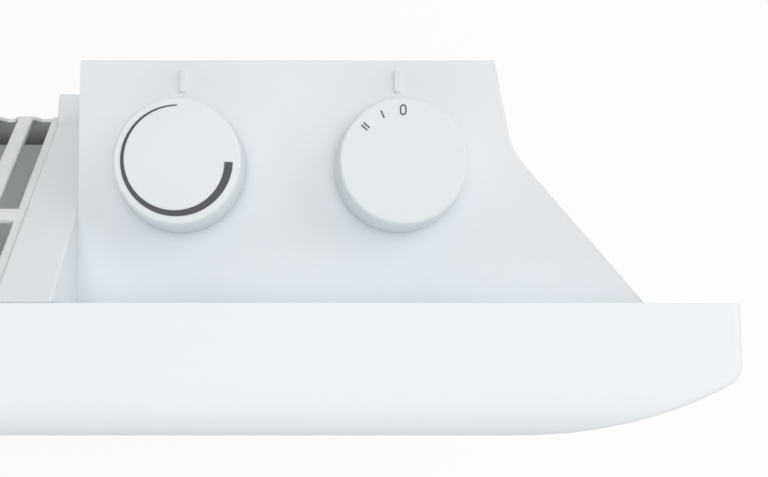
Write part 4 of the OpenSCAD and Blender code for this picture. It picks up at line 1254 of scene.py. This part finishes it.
class HEATER_OT_stage(bpy.types.Operator):
    """Lay the pale floor, set the soft lights and place the camera over the control panel"""

    bl_idname = "heater.stage"
    bl_label = "Stage"

    def execute(self, context):
        settings = context.scene.heater_studio
        self.floor(context, settings)
        self.world(context, settings)
        for name, (azimuth, elevation, width) in LAMPS.items():
            self.light(f"{name}_light", azimuth, elevation, getattr(settings, name), width)
        self.camera(context)
        return {"FINISHED"}

    def floor(self, context, settings):
        """A wide floor that the camera sees mostly as plain white, with the heater's shadow."""
        shape = bmesh.new()
        corners = [(-FLOOR_HALF, -FLOOR_HALF), (FLOOR_HALF, -FLOOR_HALF)]
        corners += [(FLOOR_HALF, FLOOR_HALF), (-FLOOR_HALF, FLOOR_HALF)]
        shape.faces.new([shape.verts.new((x, y, 0.0)) for x, y in corners])
        bmesh.ops.subdivide_edges(shape, edges=shape.edges, cuts=FLOOR_CUTS, use_grid_fill=True)
        piece = add_object("floor", mesh_of("floor", shape))
        finish = Finish("floor_paint")
        tone = context.scene.heater_colours.floor
        grain = finish.noise(90.0, 3.0)
        speckled = finish.blend(grain, scaled(tone, 0.99), scaled(tone, 1.01))
        shown = finish.shown()
        paint = finish.node("ShaderNodeBsdfPrincipled", {}, {
            "Base Color": finish.blend(shown, (settings.bounce,) * 3, speckled),
            "Roughness": 0.8 + (grain - 0.5) * 0.1,
            "Specular IOR Level": 0.1,
        })
        glow = finish.node("ShaderNodeEmission", {}, {"Color": WHITE, "Strength": 1.0})
        x, y = finish.axis("X"), finish.axis("Y")
        away = finish.math("SQRT", x * x + y * y)
        white = settings.floor_glow + away.step(*FLOOR_FADE) * (1.0 - settings.floor_glow)
        finish.out(finish.node("ShaderNodeMixShader", {}, {0: shown * white, 1: paint, 2: glow}))
        piece.data.materials.append(finish.material)

    def world(self, context, settings):
        """Even light all round, white where it is seen."""
        world = bpy.data.worlds.new("studio")
        world.use_nodes = True
        context.scene.world = world
        nodes = Nodes(world.node_tree)
        levels = {0: nodes.shown(), 2: settings.ambient, 3: 1.0}
        level = nodes.node("ShaderNodeMix", {"clamp_factor": True}, levels)
        sky = nodes.node("ShaderNodeBackground", {}, {"Color": WHITE, "Strength": level})
        nodes.node("ShaderNodeOutputWorld", {}, {"Surface": sky})

    def light(self, name, azimuth, elevation, watts, width):
        """A soft round light that faces the heater's controls from this direction."""
        lamp = bpy.data.lights.new(name, "AREA")
        lamp.shape = "DISK"
        lamp.size = width
        lamp.energy = watts
        holder = add_object(name, lamp)
        across, up = cos(radians(elevation)), sin(radians(elevation))
        away = Vector((across * cos(radians(azimuth)), across * sin(radians(azimuth)), up))
        holder.location = LAMP_AIM + away * LAMP_DISTANCE
        holder.rotation_euler = (-away).to_track_quat("-Z", "Y").to_euler()
        holder.visible_camera = False

    def camera(self, context):
        """Looks almost straight down on the right end, as the photograph does."""
        lens = bpy.data.cameras.new("camera")
        lens.sensor_fit = "HORIZONTAL"
        lens.sensor_width = CAMERA_SENSOR
        lens.lens = CAMERA_LENS
        lens.shift_x, lens.shift_y = CAMERA_SHIFT
        lens.clip_start, lens.clip_end = CAMERA_RANGE
        holder = add_object("camera", lens)
        holder.location = CAMERA_PLACE
        holder.rotation_euler = (radians(CAMERA_TILT), 0.0, 0.0)
        context.scene.camera = holder
        context.scene.view_settings.view_transform = "Standard"


# Panel and registration

GROUPS = {
    "heater_panel": PanelSizes,
    "heater_grille": GrilleSizes,
    "heater_knobs": KnobSizes,
    "heater_mouldings": MouldingSizes,
    "heater_screws": ScrewSizes,
    "heater_colours": Colours,
    "heater_studio": StudioSettings,
}
OPERATORS = (
    HEATER_OT_stage, HEATER_OT_front_panel, HEATER_OT_mouldings, HEATER_OT_grille, HEATER_OT_knobs,
    HEATER_OT_screws, HEATER_OT_plain_parts,
)


class HEATER_PT_sidebar(bpy.types.Panel):
    """The heater's pieces and their sizes"""

    bl_label = "Convector heater"
    bl_space_type = "VIEW_3D"
    bl_region_type = "UI"
    bl_category = "Heater"

    def draw(self, context):
        for item in OPERATORS:
            self.layout.operator(item.bl_idname)
        for group in GROUPS:
            box = self.layout.box()
            settings = getattr(context.scene, group)
            for item in settings.bl_rna.properties:
                if item.identifier not in ("rna_type", "name"):
                    box.prop(settings, item.identifier)


def register():
    """Register the property groups, operators and panel."""
    for name, group in GROUPS.items():
        bpy.utils.register_class(group)
        setattr(bpy.types.Scene, name, PointerProperty(type=group))
    for item in (*OPERATORS, HEATER_PT_sidebar):
        bpy.utils.register_class(item)


def unregister():
    """Take them out again."""
    for item in (HEATER_PT_sidebar, *reversed(OPERATORS)):
        bpy.utils.unregister_class(item)
    for name, group in GROUPS.items():
        delattr(bpy.types.Scene, name)
        bpy.utils.unregister_class(group)


def main():
    """Make every piece in order."""
    register()
    bpy.ops.heater.stage()
    bpy.ops.heater.front_panel()
    bpy.ops.heater.mouldings()
    bpy.ops.heater.grille()
    bpy.ops.heater.knobs()
    bpy.ops.heater.screws()
    bpy.ops.heater.plain_parts()


if __name__ == "__main__":
    main()
